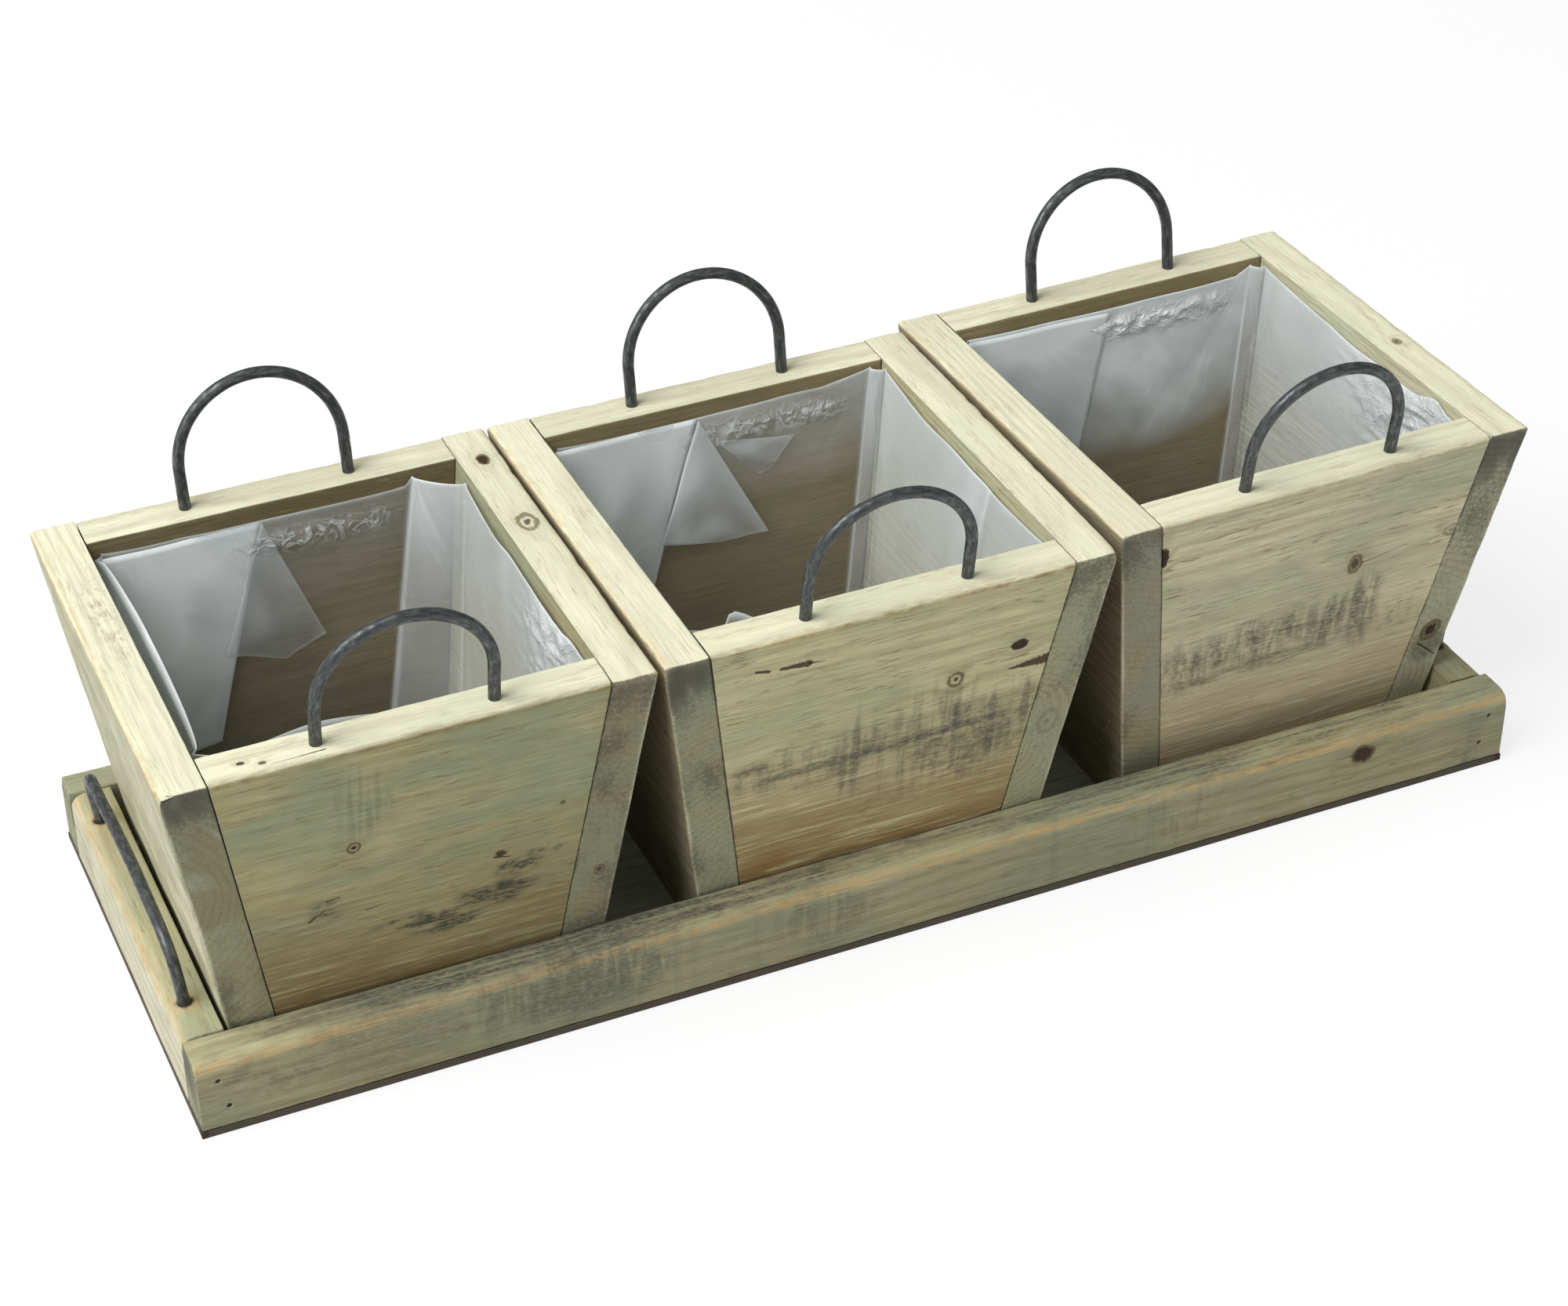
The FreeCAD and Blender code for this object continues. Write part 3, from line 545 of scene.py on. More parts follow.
# %% Wood finish from a board's own values
PALE = (0.90, 0.885, 0.65, 1)
TAN = (0.46, 0.44, 0.265, 1)
LATE = (0.30, 0.225, 0.115, 1)
GREEN = (0.42, 0.44, 0.30, 1)
WARM = (0.62, 0.40, 0.17, 1)
SOOT_AND_SHADE = (0.10, 0.10, 0.085, 1)
BARK = (0.055, 0.035, 0.02, 1)
KNOT_RING = (0.17, 0.115, 0.055, 1)
FLATS = {"face": (0, 1), "end": (2, 1), "rim": (0, 2)}
KNOT_PUSH, KNOT_SINK, CRACK_SINK = 0.0022, -1.6, -2.5


def on_plane(faults):
    """Each fault with its plane in front; one without a plane is on the broad face."""
    return [fault if isinstance(fault[0], str) else ("face", *fault) for fault in faults]


def point(x, y):
    """A flat place in millimetres as a vector in metres."""
    return (x * MM, y * MM, 0.0)


def wood_finish(name, seed, pith=(0.0, 40.0, -55.0), ring_width=3.2, wander=7.0, knots=(), cracks=(),
                smudges=(), pale=PALE, tan=TAN, late=LATE, cast=GREEN, warm=WARM, soot=SOOT_AND_SHADE,
                strength=0.42, notes=None):
    """A board's material: knots push the rings, the wood group colours them, and the faults lie on
    top. Knots: plane, x, y, half width, half height, darkness, share that is a hole. Cracks: plane,
    two ends, two widths. Smudges: plane, centre, half sizes, stroke frequencies, cover, darkness. A
    mesh keeps its own place and notes, but a planned solid has its object's place and three notes."""
    made, tree, shader = new_material(name)
    place = kept_values(tree, "board") if notes is None else object_place(tree)
    notes = kept_values(tree, "finish") if notes is None else joined(tree, *notes)
    parts = split(place)
    knots, cracks, smudges = on_plane(knots), on_plane(cracks), on_plane(smudges)
    planes = [fault[0] for fault in (*knots, *cracks, *smudges)]
    flats = {plane: joined(tree, parts[first], parts[second], 0.0)
             for plane, (first, second) in FLATS.items() if plane in planes}
    push, knot_masks = 0.0, []
    for plane, x, y, half_width, half_height, dark, hole in knots:
        masks = use(tree, knot_block, Flat=flats[plane], Centre=point(x, y),
                    Size=(half_width * MM, half_height * MM, 1.0), Hole=hole)
        knot_masks.append((masks, dark))
        push = masks["Halo"] * KNOT_PUSH + push
    grain = use(tree, rings_block, Place=place, Pith=tuple(v * MM for v in pith),
                Ring_Width=ring_width * MM, Wander=wander * MM, Push=push, Seed=seed * 0.371)
    wood = use(tree, wood_block, Notes=notes, Pale=pale, Tan=tan, Late=late, Cast=cast, Warm=warm,
               Soot=soot, Ring_Strength=strength, **grain)
    colour, height = wood["Color"], wood["Height"]
    for plane, x, y, half_x, half_y, across, along, cover, dark in smudges:
        mask = use(tree, smudge_block, Flat=flats[plane], Centre=point(x, y), Cover=cover,
                   Half=(half_x * MM, half_y * MM, 1.0), Stroke=(across, along, 1.0))["Mask"]
        colour = tint(mask * dark, colour, soot)
    for masks, dark in knot_masks:
        for key, share, shade in (("Halo", 0.18, late), ("Ring", 0.9, KNOT_RING), ("Core", 1.0, BARK)):
            colour = tint(masks[key] * (share * dark), colour, shade)
        height = masks["Core"] * (KNOT_SINK * dark) + height
    for plane, start, end, start_width, end_width in cracks:
        mask = use(tree, crack_block, Flat=flats[plane], Start=point(*start), End=point(*end),
                   Start_Width=start_width * MM, End_Width=end_width * MM)["Mask"]
        colour = tint(mask * 0.9, colour, BARK)
        height = mask * CRACK_SINK + height
    send(shader.inputs, Base_Color=colour, Roughness=wood["Roughness"], Normal=bumped(height, 0.35, 0.0006))
    shader.inputs["Specular IOR Level"].default_value = 0.25
    return made


print("planes for faults", FLATS)

# %% [markdown]
# ## The notes on a board
# How pale and warm each point is, and how much grime and painted shade it carries, depends on which
# way it faces and how near it is to an arris. Top faces are bleached, sawn ends are darker, and inner
# faces are darker, with painted shade that deepens towards the foot. The outer top edge is worn to warm
# wood, and dust gathers along the other arrises and near the foot.

# %% Pale, warm and grime from place and direction


def board_notes(points, outward, size, seed, tones):
    """Three columns. Each is a sum of shares: how far the point faces up, out, in or endways, times
    that side's tone, plus bells of distance from the arrises, broken up by noise."""
    top = unit(outward[:, 1]) ** 2
    outer = unit(-outward[:, 2]) ** 2
    inner = unit(outward[:, 2]) ** 2
    ends = outward[:, 0] ** 2
    below = unit(-outward[:, 1]) ** 2
    a, u, t = points.T
    slow = rough(a / 9, (u + t * 3) / 7, seed)
    quick = rough(a / 2.3, (u + t * 2) / 1.7, seed + 7)
    pale = (top * tones["top"] + outer * tones["outer"] + inner * tones["inner"]
            + ends * tones["ends"] + below * 0.2 + (slow - 0.5) * 0.5)
    from_top, from_end = size[1] - u, np.minimum(a, size[0] - a)
    edge_warm = hump(from_top, 1.1, 1.1) * (outer + 0.35 * ends) + hump(t, 1.0, 1.0) * top * 0.5
    warm = tones["warm"] * edge_warm * np.clip(quick * 2.4 - 0.35, 0, 1.4)
    arris = (hump(from_end, 0.0, 0.6) * (outer * 0.6 + inner + top * 0.6)
             + hump(t, size[2], 0.9) * top * 0.7 + hump(t, size[2], 0.5) * ends * 0.7
             + hump(u, 0.0, 2.5) * (outer + ends) * 0.5)
    pale = pale + ends * (0.75 * hump(t, 0.4, 0.8) + 0.5 * hump(from_top, 1.2, 1.1))
    grime_and_shade = tones["grime_and_shade"] * (0.12 + arris * np.clip(quick * 1.8 - 0.2, 0, 1.2))
    grime_and_shade = grime_and_shade + ends * tones["end_soot"] * unit(0.2 + hump(from_top, 0.0, 15.0) * (0.4 + slow))
    blotch = rough(u / 17, t / 9, seed + 13)
    grime_and_shade = grime_and_shade + ends * 0.5 * unit(blotch * 2.2 - 0.9)
    pale = pale + ends * 0.25 * unit(1 - blotch * 2)
    # Painted shade on the inner faces, deepening towards the foot of the pot.
    grime_and_shade = grime_and_shade + inner * (0.15 + 0.45 * unit(1 - u / (0.8 * size[1])))
    return np.stack([unit(pale), unit(warm), unit(grime_and_shade)], axis=-1)


POT_TONES = {"top": 1.25, "outer": 0.16, "inner": 0.0, "ends": 0.0, "warm": 0.6, "grime_and_shade": 0.6,
             "end_soot": 0.6}
SIDE_TONES = {("left", "left"): 0.56, ("right", "right"): 0.5}
print("tones", POT_TONES)

# %% [markdown]
# ## Chips and an uneven face
# Real boards are not straight: their faces swell by a tenth or two of a millimetre, and their outer
# edges have small bites. Relief only goes into the wood, so that neighbours never overlap.

# %% Relief of a board


def board_relief(points, outward, size, seed, chips):
    """Depth in millimetres, never above zero: slow swell over the faces, a finer one on the arrises,
    and a bell-shaped bite for each chip at a place along, up and through the board."""
    a, u, t = points.T
    depth = -0.22 * swell(a / 17, (u + t) / 9, seed) - 0.1 * rough(a / 4, (u + t) / 3, seed + 3)
    bent = 1 - np.max(np.abs(outward), axis=1)
    depth -= bent * 1.1 * rough(a / 3, (u + t) / 2.2, seed + 5) ** 2
    rng = np.random.default_rng(seed)
    random_chips = [(x, size[1], 0.0, rng.uniform(0.15, 0.45), rng.uniform(1.0, 2.6), 1.2)
                    for x in rng.uniform(3, size[0] - 3, int(size[0] / 22))]
    for x, y, z, bite, length, reach in [*chips, *random_chips]:
        depth -= bite * hump(a, x, length) * hump(np.hypot(u - y, t - z), 0.0, reach)
    return depth


def board_piece(name, corners, size, step, seed, finish, node, slot, body, tones=POT_TONES, edge=0.5,
                crown=1.5, rim_bores=(), face_bores=(), chips=(), middle=None, drift=0.0, shy=0.0,
                end_edge=None, inner_edge=None):
    """A finished board. Corners: eight places in millimetres, by along, up and through. Bores on the
    rim and the face: centre, radii, depth. Middle changes the notes. Shy shortens both ends by that
    much."""
    along_bores = [(centre[0], radii[0]) for centre, radii, _ in (*rim_bores, *face_bores)]
    up_bores = [(centre[1], radii[1]) for centre, radii, _ in face_bores]
    through_bores = [(centre[1], radii[1]) for centre, radii, _ in rim_bores[:1]]
    worn_edge = edge * EDGE_ROOM
    points, faces = closed_skin(lines(size[0], step, worn_edge, worn_edge, along_bores),
                                lines(size[1], step, worn_edge, crown, up_bores),
                                lines(size[2], step, crown, worn_edge, through_bores))
    flat_top, flat_face = points[:, 1] >= size[1] - 1e-6, points[:, 2] <= 1e-6
    rings = [np.hypot(points[:, 0] - centre[0], points[:, 2] - centre[1]) / radii[0]
             for centre, radii, _ in rim_bores]
    shaped, outward = worn(points, size, edge, crown, end_edge, inner_edge)
    relief = board_relief(points, outward, size, seed, chips)
    for ring in rings:
        relief[flat_top & (ring < 2.5)] *= 0.3
    shaped = shaped + outward * relief[:, None]
    for centre, radii, depth in rim_bores:
        shaped = bore(shaped, flat_top, (0, 2), centre, radii, -depth, drift)
    for centre, radii, depth in face_bores:
        shaped = bore(shaped, flat_face, (0, 1), centre, radii, depth)
    shaped[:, 0] = shy + shaped[:, 0] * (size[0] - 2 * shy) / size[0]
    shares = shaped / np.array(size)
    foot_width, top_width = np.linalg.norm(corners[1, :, 0] - corners[0, :, 0], axis=-1)
    width = foot_width * (1 - shares[:, 1]) + top_width * shares[:, 1]
    place = np.stack([(shares[:, 0] - 0.5) * width, shaped[:, 1], shaped[:, 2]], axis=-1) * MM
    notes = board_notes(points, outward, size, seed, tones)
    for ring in rings:
        notes[:, 2] = np.maximum(notes[:, 2], flat_top * unit(1.9 - ring) * 0.9)
        notes[:, 1] = np.maximum(notes[:, 1], flat_top * unit(2.5 - ring) * 0.45)
    if middle is not None:
        notes = middle(points, outward, notes)
    return closed_piece(name, blend_corners(shares, corners), faces, {"board": place, "finish": notes},
                        finish, node, slot, body)


print("relief and board maker ready")

# %% [markdown]
# ## Corners of a pot's walls
# All four walls lean by the same slope. The front and back walls stop at the side walls, whose sawn
# ends show at the corners of the pot as darker strips. The corners are worked out from the sizes, so
# a board fits its neighbours and the planned solid exactly.

# %% Eight corners for each wall of a pot


def wall_corners(side, pot):
    """Corners by along, up and through. At height h the pot's half width is the foot's plus taper
    times h; a wall is as thick, measured level, as its stock over the cosine of the slope."""
    corners = np.zeros((2, 2, 2, 3))
    sign = -1 if side in ("front", "left") else 1
    for i, j, k in np.ndindex(2, 2, 2):
        height, end = j * POT_HEIGHT, 2 * i - 1
        half = FOOT_HALF + TAPER * height
        level = sign * (half - k * ACROSS)
        if side in ("front", "back"):
            corners[i, j, k] = end * (half - ACROSS), level, height
        else:
            corners[i, j, k] = level, end * half, height
    return stand(corners, pot)


print("left wall's outer foot corner", np.round(wall_corners("left", "left")[0, 0, 0], 2))

# %% [markdown]
# ## Bores in a pot's walls
# Each front and back wall has two holes for its handle's legs, drilled along the slope from the rim.
# Each side wall has small pits over the nails: two into the end of the front wall, two into the back
# wall and two into the floor board. The pits are placed by the same shares as the nails.

# %% Places of the bores
HANDLE_SPAN, WIRE_RADIUS, HOLE_RADIUS = 47.0, 1.7, 2.0
NAIL_PIT, NAIL_SINK, HOLE_DEPTH = 0.8, 0.85, 7.0
LOW_NAIL, HIGH_NAIL, FLOOR_NAIL, FLOOR_NAIL_SPREAD = 0.3, 0.75, 0.28, 0.4
WALL_LENGTH = 2 * (RIM_HALF - ACROSS)
SIDE_LENGTH = 2 * RIM_HALF


def handle_bores():
    """Two holes in the rim, half a span each side of the middle and half the stock deep."""
    radii = (HOLE_RADIUS + 0.25, HOLE_RADIUS + 0.15)
    return [((WALL_LENGTH / 2 + end * HANDLE_SPAN / 2, STOCK / 2), radii, HOLE_DEPTH) for end in (-1, 1)]


def nail_bores():
    """Six pits: heights are shares of the pot's height, or of the floor's thickness. A place along
    the board is widened by the ratio of the rim's width to the width at that height."""
    found = []
    for height, spread in ((LOW_NAIL * POT_HEIGHT, None), (HIGH_NAIL * POT_HEIGHT, None),
                           (FLOOR_NAIL * FLOOR, FLOOR_NAIL_SPREAD * FOOT_HALF)):
        half = FOOT_HALF + TAPER * height
        spread = spread or half - ACROSS / 2
        wider = RIM_HALF / half
        up = height / math.cos(TILT)
        found += [((SIDE_LENGTH / 2 + end * spread * wider, up), (NAIL_PIT * wider, NAIL_PIT), NAIL_SINK)
                  for end in (-1, 1)]
    return found


print("nail pits up the wall", [round(c[1], 1) for c, _, _ in nail_bores()])

# %% [markdown]
# ## The front walls and their faults
# The front walls are the planter's face, so they get the finest lattice and their own list of knots,
# cracks and worn dark smudges. The smudges are plain stains: strokes of old dye, mostly rubbed off.

# %% Finishes of the front walls
TALL_BARS = ((-8.3, 60.5, 1.7, 20), (-11.6, 57, 1.5, 14), (22, 58, 1.6, 17), (33, 59, 1.6, 17),
             (43, 61, 1.6, 14))
DABS = ((-34.1, 54, 5), (-26.7, 53, 6), (-15.5, 58, 6), (-2.3, 57, 7), (9.5, 55, 9), (19, 57, 14),
        (23.8, 52, 10))
front_finish = {
    "left": wood_finish(
        "left_front_wood", 3, pith=(0, 30, -38), ring_width=4.6, wander=10.0, cast=(0.40, 0.45, 0.275, 1),
        warm=(0.29, 0.195, 0.085, 1), strength=0.34, tan=(0.59, 0.535, 0.29, 1),
        knots=[(-16.8, 75.5, 1.75, 1.9, 1.0, 0.3), (22.9, 59.1, 1.5, 1.1, 0.9, 0.8),
               (40.0, 72.0, 0.7, 0.7, 0.6, 0.8), ("rim", -43, 6.0, 1.0, 0.7, 0.9, 0.9),
               ("rim", -38, 4.0, 0.9, 0.6, 0.8, 0.9)],
        cracks=[((-29.6, 52.7), (-25.0, 55.6), 0.75, 0.35), ((-24.6, 58.6), (-21.0, 59.0), 0.6, 0.3),
                ((21, 58.2), (25.5, 57.2), 0.7, 0.3), ((-14, 51.6), (-9, 52.3), 0.4, 0.1),
                ("rim", (-36, 2.6), (-22, 3.3), 0.1, 0.5)],
        smudges=[(22, 45, 13, 5.5, 70, 420, 0.84, 1.0), (8, 40, 14, 5.5, 65, 420, 0.76, 1.0),
                 (24, 47, 3.2, 2.2, 60, 300, 1.1, 1.0), (27, 53, 8, 3.5, 150, 380, 0.8, 0.95),
                 (-4, 43, 11, 4, 80, 420, 0.64, 0.85), (-24, 55, 7, 5, 90, 420, 0.6, 0.8),
                 (34, 56, 8, 3, 240, 520, 0.6, 0.7), (-14, 90, 9, 17, 420, 22, 0.62, 0.34),
                 (10, 62, 30, 2, 60, 700, 0.5, 0.35)],
        soot=(0.075, 0.08, 0.055, 1)),
    "middle": wood_finish(
        "middle_front_wood", 11, pith=(0, 52, -45), ring_width=3.9, wander=7.0, cast=(0.62, 0.64, 0.385, 1),
        warm=(0.37, 0.22, 0.08, 1), strength=0.34, tan=(0.84, 0.77, 0.465, 1),
        knots=[(20.2, 78.3, 2.4, 2.4, 0.9, 0.28), (38.7, 85.1, 2.5, 1.7, 1.0, 0.95)],
        cracks=[((36.3, 76.9), (49.2, 77.2), 0.4, 4.6), ((-32.5, 99.2), (-24.6, 98.8), 1.0, 2.4),
                ((-39.7, 100.4), (-36, 99.5), 0.8, 1.2), ((-24.6, 98.8), (-19.5, 98.2), 0.7, 0.1)],
        smudges=[(-14, 59.4, 36, 2.0, 90, 620, 0.9, 0.66), (20, 60.5, 29, 1.8, 110, 620, 0.9, 0.6),
                 (-38, 64.5, 8, 1.6, 200, 600, 0.9, 0.6), (20, 58, 36, 24, 330, 34, 0.6, 0.5),
                 (-20, 61, 32, 9, 300, 60, 0.6, 0.5), (8, 57, 46, 20, 38, 420, 0.5, 0.42),
                 (28, 56, 22, 17, 210, 230, 0.62, 0.5)]
        + [(x, y, wide, tall, 130, 90, 0.97, 0.56) for x, y, wide, tall in TALL_BARS]),
    "right": wood_finish(
        "right_front_wood", 23, pith=(0, 60, -50), ring_width=3.4, wander=6.0, cast=(0.66, 0.67, 0.44, 1),
        warm=(0.66, 0.535, 0.33, 1), strength=0.34, tan=(0.95, 0.88, 0.60, 1),
        knots=[(15.3, 75.0, 2.3, 3.2, 0.85, 0.6), (47.1, 78.0, 2.6, 2.0, 0.5, 0.35),
               (-50.8, 97.8, 1.5, 3.4, 1.0, 0.95)],
        cracks=[((17.5, 74.6), (33, 77.5), 0.35, 0.06)],
        smudges=[(-36, 52, 14, 12, 330, 110, 0.72, 0.6), (-14, 55, 18, 11, 330, 60, 0.74, 0.55),
                 (8, 56, 12, 12, 330, 55, 0.74, 0.55), (20.5, 57, 8, 17, 330, 50, 0.8, 0.6),
                 (33, 50, 11, 7, 300, 300, 0.5, 0.5), (-12, 46, 36, 3.5, 60, 480, 0.66, 0.55),
                 (-8, 55, 36, 11, 40, 440, 0.5, 0.5)]
        + [(x, y, 2.6, tall, 260, 90, 0.8, 0.5) for x, y, tall in DABS])}
print("front finishes", sorted(front_finish))

# %% [markdown]
# ## Building the twelve walls
# The front walls are built with the closest lattice lines. The lower part of a front wall is browner,
# where the weather did not reach. The ends of the side walls are green-grey with curved rings, and
# their upper corners are the most worn and sooty. A side wall that faces a neighbouring pot is browner
# and darker outside with painted shade, and below the film's edge the inner faces of two pots are
# darkened with painted shade. The back walls, seen through the film, are darkened with painted shade.

# %% Build the walls
SIDE_FINISH = {
    ("left", "left"): dict(
        seed=31, pith=(0, 75, -26), cast=(0.50, 0.51, 0.35, 1), tan=(0.35, 0.335, 0.205, 1),
        smudges=[("rim", 16, 8.5, 26, 4.5, 200, 420, 0.62, 0.42)]),
    ("left", "right"): dict(
        seed=37, pith=(0, -12, 34), cast=(0.37, 0.38, 0.25, 1), tan=(0.40, 0.37, 0.225, 1),
        knots=[("rim", 49.4, 6.2, 2.7, 1.7, 1.0, 0.8), ("rim", 14.1, 6.0, 4.3, 2.7, 0.85, 0.3),
               ("end", 5.5, 43.0, 1.4, 1.7, 0.8, 0.5)]),
    ("middle", "left"): dict(seed=41, pith=(0, 15, 22)),
    ("middle", "right"): dict(
        seed=43, pith=(0, 48, 20), cast=(0.48, 0.50, 0.34, 1), tan=(0.52, 0.505, 0.32, 1),
        knots=[("end", 6.4, 52.5, 3.2, 4.4, 0.34, 0.2)]),
    ("right", "left"): dict(seed=47, pith=(0, 120, 30), cast=(0.44, 0.42, 0.32, 1)),
    ("right", "right"): dict(
        seed=53, pith=(0, 18, 26), cast=(0.55, 0.57, 0.40, 1), tan=(0.60, 0.58, 0.40, 1),
        smudges=[("end", 6, 33, 8, 7, 200, 200, 1.1, 0.75)],
        knots=[("rim", -9.1, 6.0, 1.7, 1.3, 0.8, 0.6), ("end", 6.8, 39.0, 3.2, 3.6, 1.0, 0.6)],
        cracks=[("end", (9.5, 34.5), (1.5, 28.0), 0.7, 0.3)])}
SIDE_CHIPS = {
    ("left", "left"): [(0.0, SLOPE_LENGTH, 1.5, 1.6, 2.2, 3.4), (3.4, SLOPE_LENGTH, 0.0, 0.8, 1.4, 1.8)],
    ("middle", "right"): [(0.0, SLOPE_LENGTH, 0.0, 0.8, 2.0, 2.0)]}
JOINT_GAPS = {"left": 0.0, "middle": 0.10, "right": 0.03}
SHADE_BELOW_FILM = {"left": 0.0, "middle": 0.25, "right": 0.6}
BACK_SHADE_TONES = {"left": 1.0, "middle": 1.4, "right": 1.7}


def front_notes(points, outward, notes):
    """Browner and darker towards the foot of the outer face, in streaks along the board."""
    outer = unit(-outward[:, 2])
    uneven = rough(points[:, 0] / 30, points[:, 1] / 5, 88) * 30
    low = unit(1.25 - (points[:, 1] + uneven - 15) / 60)
    notes[:, 0] -= outer * low * 0.3
    notes[:, 1] += outer * low * 0.98
    notes[:, 2] += outer * low * 0.22
    return unit(notes)


def shaded_notes(points, outward, notes):
    """Browner and darker over the whole outer face: painted shade for the sides that face a neighbouring
    pot.
    """
    outer = unit(-outward[:, 2])
    notes[:, 1] = np.maximum(notes[:, 1], outer * 0.3)
    notes[:, 2] = np.maximum(notes[:, 2], outer * 0.6)
    return notes


def shaded_below_film(shade_below_film_depth, following):
    """Notes for a side board: painted shade on the inner face below the film's edge, then those that
    follow.
    """
    def middle(points, outward, notes):
        below = unit((SLOPE_LENGTH - 6 - points[:, 1]) / 3)
        # Painted shade on the inner face below the film's edge.
        notes[:, 2] = np.maximum(notes[:, 2], unit(outward[:, 2]) * below * shade_below_film_depth)
        return following(points, outward, notes) if following else notes
    return middle


def wall(pot, side, length, step, seed, finish, **values):
    """One wall of a pot."""
    return board_piece(f"{pot}_pot_{side}_wall", wall_corners(side, pot), (length, SLOPE_LENGTH, STOCK),
                       step, seed, finish, f"{pot}_pot_{side}_board", "pot_wood", f"{pot}_pot", **values)


def shaded_back_finish(pot, number):
    """The back wall's wood, darkened with painted shade; its tone brightens two base colours."""
    tan, cast = ((*(BACK_SHADE_TONES[pot] * v for v in base), 1)
                 for base in ((0.21, 0.175, 0.095), (0.17, 0.14, 0.07)))
    return wood_finish(f"{pot}_back_wood", 61 + number, pith=(0, 20 + 18 * number, 60), ring_width=3.4,
                       tan=tan, cast=cast)


walls = []
for number, pot in enumerate(TURNS):
    for side, step, finish, middle in (("front", 0.8, front_finish[pot], front_notes),
                                       ("back", 1.6, shaded_back_finish(pot, number), None)):
        walls.append(wall(pot, side, WALL_LENGTH, step, 100 + 7 * number + len(side), finish, middle=middle,
                          rim_bores=handle_bores(), shy=JOINT_GAPS[pot], end_edge=0.2))
    for side in ("left", "right"):
        finish = wood_finish(f"{pot}_{side}_side_wood", ring_width=2.2, wander=12.0, strength=0.34,
                             **SIDE_FINISH[pot, side])
        tone = SIDE_TONES.get((pot, side), 0.0)
        walls.append(wall(pot, side, SIDE_LENGTH, 1.5, 200 + 11 * number + len(side), finish, edge=0.65,
                          tones=dict(POT_TONES, outer=tone), inner_edge=0.2, face_bores=nail_bores(),
                          chips=SIDE_CHIPS.get((pot, side), ()),
                          middle=shaded_below_film(SHADE_BELOW_FILM[pot], None if tone else shaded_notes)))
print("walls", len(walls), "points", sum(len(w.data.vertices) for w in walls))

# %% [markdown]
# ## The tray's rails
# The rails are thinner stock with a strongly worn outer top edge, a four-millimetre round. The long
# rails' faces carry dark rising stains, one knot near the right end, and two nail pits at each corner.
# The short rails have the two leaning holes of the tray handles.

# %% Build the rails
RAIL_TONES = {"top": 0.12, "outer": 0.12, "inner": 0.0, "ends": 0.1, "warm": 1.0, "grime_and_shade": 0.8,
              "end_soot": 0.5}
NAIL_ENDS = ((0.3, 0.68), (0.72, 0.5))
STAINS = ((-190, 6, 0.5), (-102, 5, 0.4), (-60, 6, 0.2), (-30, 5, 0.4), (-15, 6, 0.35), (42, 9, 0.3),
          (90, 6, 0.35), (150, 9, 0.35), (188, 7, 0.5))
RAIL_HANDLE_SPAN, RAIL_HANDLE_LEAN, RAIL_HANDLE_INSET, RIGHT_SET_BACK = 86.0, 6.0, 5.4, 3.0
RAIL_CROWN, RAIL_HOLE_DEPTH = 4.0, 6.0


def rail_corners(low, high, outer_axis, sign):
    """Eight corners of a level rail: along the other axis, up, and from its outer face inwards."""
    corners, ends = np.zeros((2, 2, 2, 3)), (low, high)
    for i, j, k in np.ndindex(2, 2, 2):
        corners[i, j, k, 1 - outer_axis] = ends[i][1 - outer_axis]
        corners[i, j, k, 2] = ends[j][2]
        corners[i, j, k, outer_axis] = ends[k if sign < 0 else 1 - k][outer_axis]
    return corners


def rail_notes(points, outward, notes):
    """Dark stains that rise on the outer face, each a bell along the rail broken by noise."""
    outer = unit(-outward[:, 2])
    along = points[:, 0] - TRAY_HALF
    for place, width, dark in STAINS:
        mark = hump(along, place, width) * dark * (0.15 + 1.1 * rough(along / 1.3, points[:, 1] / 30, 77))
        notes[:, 2] = np.maximum(notes[:, 2], outer * mark)
    streaks = unit(rough(along / 12, points[:, 2] / 0.9, 91) * 2 - 0.85)
    notes[:, 2] = np.maximum(notes[:, 2], unit(outward[:, 1]) * streaks * 0.8)
    return unit(notes)


RAIL_FINISH = {
    "front": dict(
        seed=71, pith=(0, -30, 30), knots=[(150.7, 15.1, 3.7, 2.9, 1.0, 0.8)],
        cracks=[((148, 15.4), (138, 15.9), 0.3, 0.05)],
        smudges=[(-94, 13, 36, 12, 380, 50, 0.86, 0.62), (-148, 13, 26, 14, 50, 260, 0.95, 0.34),
                 (-22, 12, 19, 10, 360, 50, 0.74, 0.38), ("rim", -90, 9, 110, 9, 34, 640, 0.76, 0.95),
                 ("rim", 95, 9, 110, 9, 34, 640, 0.64, 0.8), (92, 12, 20, 9, 420, 60, 0.5, 0.4),
                 (-180, 13, 20, 9, 120, 160, 0.6, 0.4)]),
    "back": dict(seed=73, pith=(0, 70, 25)), "left": dict(seed=79, pith=(0, -20, 34)),
    "right": dict(seed=83, pith=(0, 50, 30))}
RAIL_SIDES = {"front": (1, -1), "back": (1, 1), "left": (0, -1), "right": (0, 1)}
rails = []
